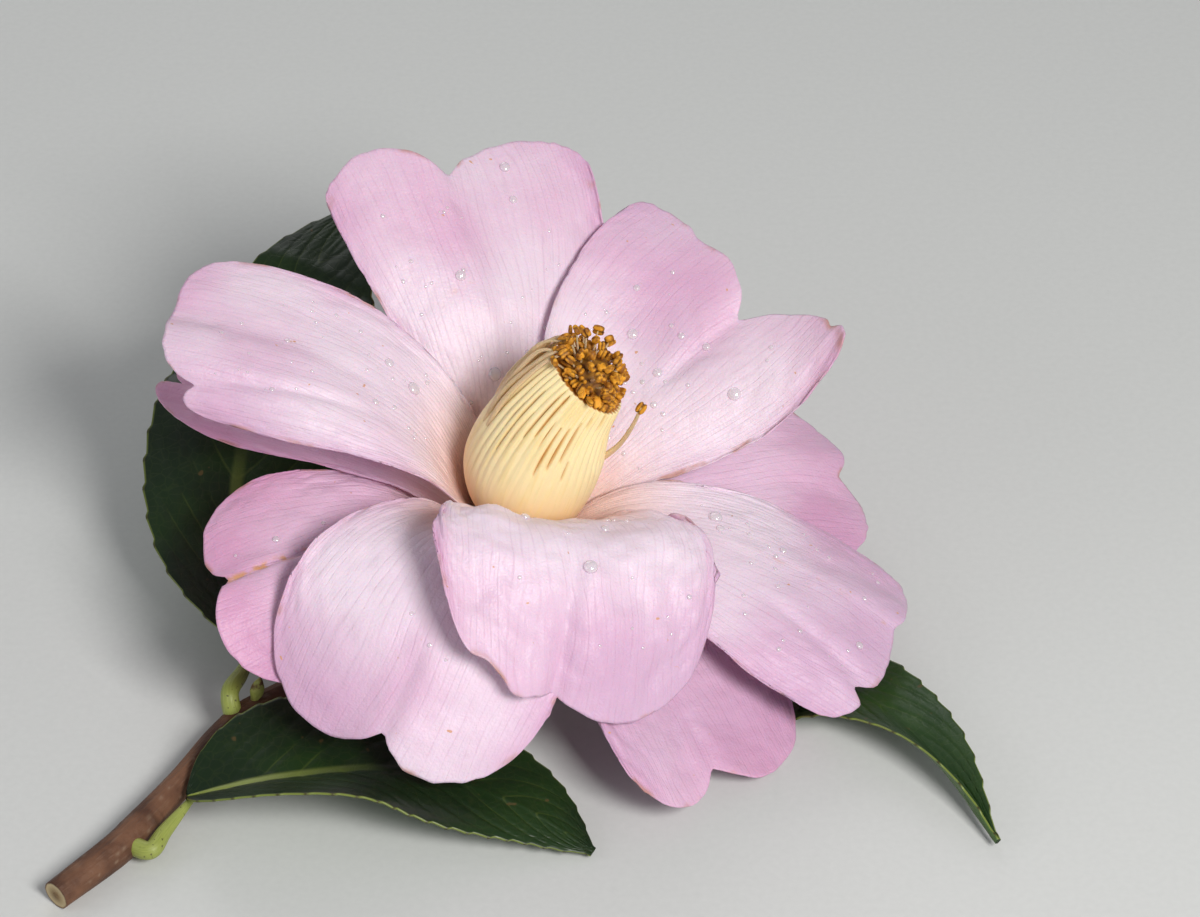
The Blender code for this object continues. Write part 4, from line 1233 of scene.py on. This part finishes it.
# %% The column's finish, and the column
stamen_cream = Finish("stamen_cream", Subsurface_Weight=0.1, Subsurface_Scale=0.0004,
                      Specular_IOR_Level=0.4)
level = stamen_cream.value("height")
u, v = stamen_cream.parts(stamen_cream.uv)
streak = stamen_cream.noise(stamen_cream.vector(u * 90, level * 3), 1.0, 2.0)
cloud = stamen_cream.noise(stamen_cream.place, 120.0, 2.0)
climb = level.rise(0.0, 0.55) + (streak - 0.5) * 0.5
colour = stamen_cream.blend(climb, (0.94, 0.60, 0.38), (0.99, 0.83, 0.47))
colour = stamen_cream.blend((cloud * streak).rise(0.22, 0.42) * 0.5, colour, (0.95, 0.70, 0.28))
# painted shade: the slits between the ribs and the cap under the anthers are dark orange-brown
colour = stamen_cream.blend(stamen_cream.value("slit"), colour, (0.50, 0.19, 0.02))
stamen_cream.paint(colour, 0.42 + cloud * 0.15, streak * 0.7 + cloud, 0.2)
column = new_grid("fused_stamens", skin, slit=slit, height=height)
hand_over(wrap(column, stamen_cream.material), "stamen_cream", "stamen_column")

# %% [markdown]
# ## The anthers
#
# An anther is a pair of pollen sacs with a seam between them, and it curls as it dries. One is
# shaped from a ball and copied about a hundred times at other sizes and angles. Particles could
# scatter them too, but placing them by a formula keeps their number and spacing as on the flower.

# %% The anthers' finish
anther_gold = Finish("anther_gold", Specular_IOR_Level=0.35)
patch = anther_gold.noise(anther_gold.place, 900.0, 3.0)
colour = anther_gold.blend(patch.rise(0.35, 0.6), (0.36, 0.12, 0.010), (0.94, 0.42, 0.03))
# painted shade: near black in each anther's groove, on its sides and underneath, and on the dome under
# them
colour = anther_gold.blend(anther_gold.value("seam"), colour, (0.05, 0.016, 0.004))
anther_gold.paint(colour, 0.42 + patch * 0.25, patch, 0.3)
print(anther_gold.material.name, "has", len(anther_gold.nodes), "nodes")


# %% Small round pieces and their copies
def round_form(name, segments, rings, finish):
    """A ball primitive, to be shaped into a small piece."""
    bpy.ops.object.select_all(action="DESELECT")
    bpy.ops.mesh.primitive_uv_sphere_add(segments=segments, ring_count=rings, radius=1)
    form = bpy.context.object
    form.name = name
    form.data.materials.append(finish)
    bpy.ops.object.shade_smooth()
    return form


def copy_at(form, place, way, size, spin=0.0):
    """A copy with its own mesh, which stands at a place in millimetres and points a way."""
    copy = form.copy()
    copy.data = form.data.copy()
    bpy.context.collection.objects.link(copy)
    turn = Vector(way).to_track_quat("Z", "Y") @ Euler((0, 0, spin)).to_quaternion()
    copy.data.transform(Matrix.LocRotScale(Vector(place) * MM, turn, Vector(size * np.ones(3)) * MM))
    return copy


print("A ball starts with a radius of 1, and its copies get their size in millimetres")

# %% One anther
anther = round_form("anther", 16, 10, anther_gold.material)
# painted shade: darker in the groove between the sacs, along their outer sides and underneath
seam = anther.data.attributes.new("seam", "FLOAT", "POINT")
for number, vertex in enumerate(anther.data.vertices):
    x, y, z = vertex.co
    groove = np.exp(-((x / 0.25) ** 2))
    edge = np.exp(-(((abs(x) - 0.75) / 0.2) ** 2))
    seam.data[number].value = float(min(1, groove * 0.8 * (y > -0.2) + 0.3 * edge + 0.4 * (z < -0.8)))
    curl = 0.35 * z * z * (1 if y > 0 else -1)
    deep = y * 0.5 * (1 - 0.7 * groove) + curl * 0.4
    vertex.co = (x * 0.8 * (1 + 0.25 * z * z), deep, z * 1.15 * (1 - 0.3 * groove))
print("One anther has", len(anther.data.polygons), "faces")

# %% A thread, and the dome that the anthers stand on
CROWD_RADIUS = 4.9
CROWD_HEIGHT = 4.2
SEAT_GAP = 0.35  # from the column's top to the dome's foot
slope = np.arctan(COLUMN_SLANT)
tip_turn = np.array(((np.cos(slope), 0, np.sin(slope)), (0, 1, 0), (-np.sin(slope), 0, np.cos(slope))))


def thread(name, route, radii, rows=12, sides=8):
    """A stamen's stalk along a route in the bloom's own frame."""
    line = bloom_to_world(along(route, np.linspace(0, 1, rows)))
    skin = tube_points(line, along(radii, np.linspace(0, 1, rows)), sides, end=dome(radii[-1]))
    grid = new_grid(name, skin, slit=0 * skin[..., 0], height=0.25 + 0 * skin[..., 0])
    return wrap(grid, stamen_cream.material)


def bloom_way(way):
    """A direction, turned from the bloom's own frame to the part's."""
    return bloom_to_world(np.array(way)) - bloom_to_world(np.zeros(3))


print("The column's top slopes by", np.degrees(slope).round(1), "degrees")

# %% The crowd of anthers, half of the upper ones on stalks of their own
ANTHERS = 92
GOLDEN_ANGLE = 2.39996  # in radians: it spaces them evenly round the dome
STALK_RADII = (0.17, 0.17, 0.12)
ANTHER_SIZES = ((0.6, 0.7, 0.55), (1.1, 1.35, 1.0))  # least and greatest
draw = np.random.default_rng(4)
crowd, stalks = [], []
for k in range(ANTHERS):
    polar = np.radians(np.interp(np.sqrt((k + 0.5) / ANTHERS), (0, 1), (5, 100)))
    way = k * GOLDEN_ANGLE
    out = np.array((np.sin(polar) * np.cos(way), np.sin(polar) * np.sin(way), np.cos(polar)))
    upper = out[0] < 0.2 and polar > 0.4
    stand = draw.uniform(0.9, 3.0) if upper and k % 2 == 0 else draw.uniform(-0.4, 0.9)
    seat = out * (CROWD_RADIUS, CROWD_RADIUS, CROWD_HEIGHT) * 0.8
    place = out * (CROWD_RADIUS, CROWD_RADIUS, CROWD_HEIGHT) + (out + (0, 0, 0.4)) * stand
    place[2] = max(place[2], 0.4)
    seat, place = (middle + tip_turn @ (point + (0, 0, SEAT_GAP)) for point in (seat, place))
    aim = bloom_way(tip_turn @ (out + draw.uniform(-0.8, 0.8, 3)))
    size = draw.uniform(*ANTHER_SIZES)
    crowd.append(copy_at(anther, bloom_to_world(place), aim, size, draw.uniform(0, 6)))
    if stand > 0.5:
        bow = (seat + place) / 2 + draw.uniform(-0.3, 0.3, 3)
        stalks.append(thread("stalk", (seat, bow, place), STALK_RADII, 8, 6))
print(len(crowd), "anthers, and", len(stalks), "of them on stalks")

# %% The dome under them, and the crowd as one piece
CORE_GRID = (12, 33)  # rings from top to foot, and points round each
arc = np.linspace(0, pi / 2, CORE_GRID[0])
angle = np.linspace(0, 2 * pi, CORE_GRID[1])
radius = 0.92 * CROWD_RADIUS * np.sin(arc)[:, None] * (1 + 0.05 * np.sin(9 * angle))
rise = np.repeat(0.9 * CROWD_HEIGHT * np.cos(arc)[:, None] + SEAT_GAP, CORE_GRID[1], 1)
core = np.stack([radius * np.cos(angle), radius * np.sin(angle), rise], -1)
under = [[[0, 0, SEAT_GAP]] * CORE_GRID[1]]
core = bloom_to_world(middle + np.concatenate([core, under]) @ tip_turn.T)
# the dome under the anthers is mostly painted shade
core = wrap(new_grid("anther_core", core, seam=0.7 + 0 * core[..., 0]), anther_gold.material)
hand_over(joined("anther_crowd", [core, *crowd]), "anther_gold", "anthers")

# %% Loose filaments at the back of the column
LOOSE = 10
LOOSE_RADII = (0.5, 0.46, 0.34, 0.14)
tips = []
for k in range(LOOSE):
    way = pi + np.radians(-78 + 10 * k + draw.uniform(-4, 4))
    low = column_surface(way - 0.04, 0.45 * COLUMN_TOP, 0.9)
    mid = column_surface(way, 0.7 * COLUMN_TOP, 1.0 + draw.uniform(0, 0.07))
    high = column_surface(way + 0.05, 0.95 * COLUMN_TOP, 1.1 + draw.uniform(0.02, 0.05 + 0.04 * k))
    tip = column_surface(way + 0.1, COLUMN_TOP, 0.95) + (0.6, 0, draw.uniform(1.2, 2.6))
    stalks.append(thread("loose_filament", (low, mid, high, tip), LOOSE_RADII, 24, 8))
    aim = bloom_way((0.8, draw.uniform(-0.6, 0.6), 0.7))
    tips.append(copy_at(anther, bloom_to_world(tip), aim, 0.85, 1.0))
print(LOOSE, "filaments stand off the column")

# %% The stray stamen
STRAY_STAMEN = ((7, -1, 14.5), (9.8, -1.5, 19.5), (10.9, -1.8, 24), (11.3, -1.8, 28))
STRAY_RADII = (0.6, 0.42, 0.34, 0.24)
stalks.append(thread("stray_stamen", STRAY_STAMEN, STRAY_RADII, 30, 12))
tips.append(copy_at(anther, bloom_to_world(np.array(STRAY_STAMEN[-1])), (0.5, 0.1, 0.8), 0.95, 1.0))
hand_over(joined("loose_filaments", stalks), "stamen_cream", "stamen_column")
hand_over(joined("loose_anthers", tips), "anther_gold", "stamen_column")
bpy.data.objects.remove(anther)

# %% [markdown]
# ## Dew
#
# Drops of water stand on the petals. A drop is a low dome, wider than it is high, and clear: what
# shows is its highlight and the darker ring at its foot. Real refraction would need many samples for
# so small a thing, so the water is a faint, see-through tint with a bright coat. The tint is whitish,
# which is painted light that brightens the bead, and a darker mauve at its foot is painted shade for
# the ring. A few large drops are placed one by one, and a seeded draw scatters the small ones.

# %% One drop
water = Finish("clear_water", IOR=1.6, Coat_Weight=1.0, Coat_Roughness=0.03, Coat_IOR=2.6)
ripple = water.noise(water.place, 900.0, 1.0)
foot = water.value("foot")
# painted light and shade: the drop is whitish to look bright, and darker mauve at its foot as a painted
# shade ring
water.paint(water.blend(foot, (1.0, 0.98, 1.0), (0.80, 0.60, 0.74)), ripple * 0.08 + 0.18)
water.feed(water.shader.inputs["Alpha"], 0.5 - foot * 0.1)
drop = round_form("drop", 16, 9, water.material)
foot = drop.data.attributes.new("foot", "FLOAT", "POINT")
for number, vertex in enumerate(drop.data.vertices):
    x, y, z = vertex.co
    foot.data[number].value = float(np.clip(1 - z * 2.5, 0, 1))
    vertex.co = (x, y, max(z, -0.25) * 0.66)
top = max(vertex.co.z for vertex in drop.data.vertices)
print("A drop of radius 1 stands", round(top, 2), "high")

# %% Where the drops stand
# On each petal: (along it, across it, radius).
DROPS = {
    "petal_back": ((0.62, 0.25, 0.9), (0.36, 0.1, 1.1), (0.93, -0.42, 0.9), (0.83, -0.38, 0.7),
                   (0.27, -0.25, 0.9)),
    "petal_back_right": ((0.72, 0.55, 0.6), (0.6, 0.35, 0.9), (0.6, 0.0, 0.8), (0.84, -0.1, 0.7),
                         (0.65, -0.6, 1.1), (0.73, 0.08, 0.6), (0.5, -0.2, 0.6)),
    "petal_left": ((0.45, -0.45, 0.8), (0.36, -0.38, 1.1), (0.45, 0.2, 0.6), (0.7, -0.1, 0.5)),
    "petal_front": ((0.6, 0.0, 1.1), (0.38, -0.35, 0.8), (0.42, 0.2, 0.7)),
    "petal_right": ((0.42, 0.42, 1.1), (0.45, 0.2, 0.7), (0.62, 0.2, 0.6), (0.9, -0.35, 0.7)),
    "petal_front_left": ((0.4, 0.3, 0.9), (0.36, 0.45, 0.8)),
    "petal_outer_left": ((0.7, 0.1, 0.8), (0.75, -0.2, 0.6)),
}
SMALL_DROPS = {
    "petal_back": 30, "petal_back_right": 34, "petal_left": 30, "petal_right": 40, "petal_front": 14,
    "petal_front_left": 6, "petal_outer_left": 8,
}
print(sum(map(len, DROPS.values())), "large drops and", sum(SMALL_DROPS.values()), "small ones")

# %% Set the drops on the petals
draw = np.random.default_rng(7)
for name, placed in DROPS.items():
    s, t, points = blades[name]
    normals = sheet_normals(points)
    scattered = [(draw.uniform(0.25, 0.9), draw.uniform(-0.75, 0.75), draw.uniform(0.16, 0.44))
                 for _ in range(SMALL_DROPS[name])]
    drops = []
    for at, across, radius in (*placed, *scattered):
        row = round(at * (PETAL_DETAIL[0] - 1))
        column_number = round((np.arcsin(across) / pi + 0.5) * (PETAL_DETAIL[1] - 1))
        up = normals[row, column_number]
        drops.append(copy_at(drop, points[row, column_number] + up * PETAL_WALL / 2, up, radius))
    hand_over(joined(name.replace("petal", "dew_on"), drops), "dew_clear")
bpy.data.objects.remove(drop)

# %% [markdown]
# ## Floor, light and camera
#
# The flower lies on a plain pale surface under soft light, and the camera looks down on it. One
# lamp would leave hard shadows between the petals, and a bright world alone would leave none. So a
# large lamp at the front right gives the form, and two weaker ones and a dim world fill the shadows.

# %% The floor
FLOOR_SIZE = 8.0  # in metres, so that its edge is out of sight
bpy.ops.object.select_all(action="DESELECT")
bpy.ops.mesh.primitive_plane_add(size=FLOOR_SIZE, location=(0, 0, 0))
floor = bpy.context.object
floor.name = "floor"
surface = Finish("pale_surface", Specular_IOR_Level=0.2)
grain = surface.noise(surface.place, 900.0, 3.0)
colour = surface.blend(grain, (0.66, 0.67, 0.66), (0.72, 0.73, 0.72))
floor.data.materials.append(surface.paint(colour, grain * 0.1 + 0.7))
print("The floor is", FLOOR_SIZE, "m wide")

# %% The light
FLOWER = Vector((PLACE[0], PLACE[1], FLOWER_HEIGHT)) * MM


def softbox(name, place, size, power, colour=(1, 1, 1)):
    """A square lamp that faces the flower. place and size are in millimetres, power in watts."""
    bpy.ops.object.light_add(type="AREA", location=Vector(place) * MM)
    lamp = bpy.context.object
    lamp.name = name
    lamp.data.size = size * MM
    lamp.data.energy = power
    lamp.data.color = colour
    lamp.rotation_euler = (lamp.location - FLOWER).to_track_quat("Z", "Y").to_euler()


softbox("key", (330, -520, 560), 260, 5.4, (1.0, 0.985, 0.96))
softbox("fill", (-650, -250, 300), 500, 0.9, (0.95, 0.97, 1.0))
softbox("back", (-150, 600, 420), 400, 0.9)
world = bpy.data.worlds.new("studio")
bpy.context.scene.world = world
world.use_nodes = True
background = world.node_tree.nodes["Background"]
background.inputs["Color"].default_value = (0.84, 0.86, 0.88, 1)
background.inputs["Strength"].default_value = 0.22
bpy.context.scene.view_settings.view_transform = "Standard"  # keeps the petals' pink

# %% The camera
DISTANCE = 650.0
ELEVATION = 40.0
LENS = 126.75  # focal length, over a sensor 36 mm wide
AIM = FLOWER + Vector((12.0, 6.28, 7.48)) * MM  # the middle of the view
tilt = np.radians(ELEVATION)
view = Vector((0, -np.cos(tilt), np.sin(tilt)))
bpy.ops.object.camera_add(location=AIM + view * DISTANCE * MM)
camera = bpy.context.object
camera.rotation_euler = view.to_track_quat("Z", "Y").to_euler()
camera.data.lens = LENS
camera.data.sensor_width = 36.0
camera.data.clip_start = 0.01
bpy.context.scene.camera = camera
print("The camera stands", DISTANCE, "mm from the flower, at", ELEVATION, "degrees")
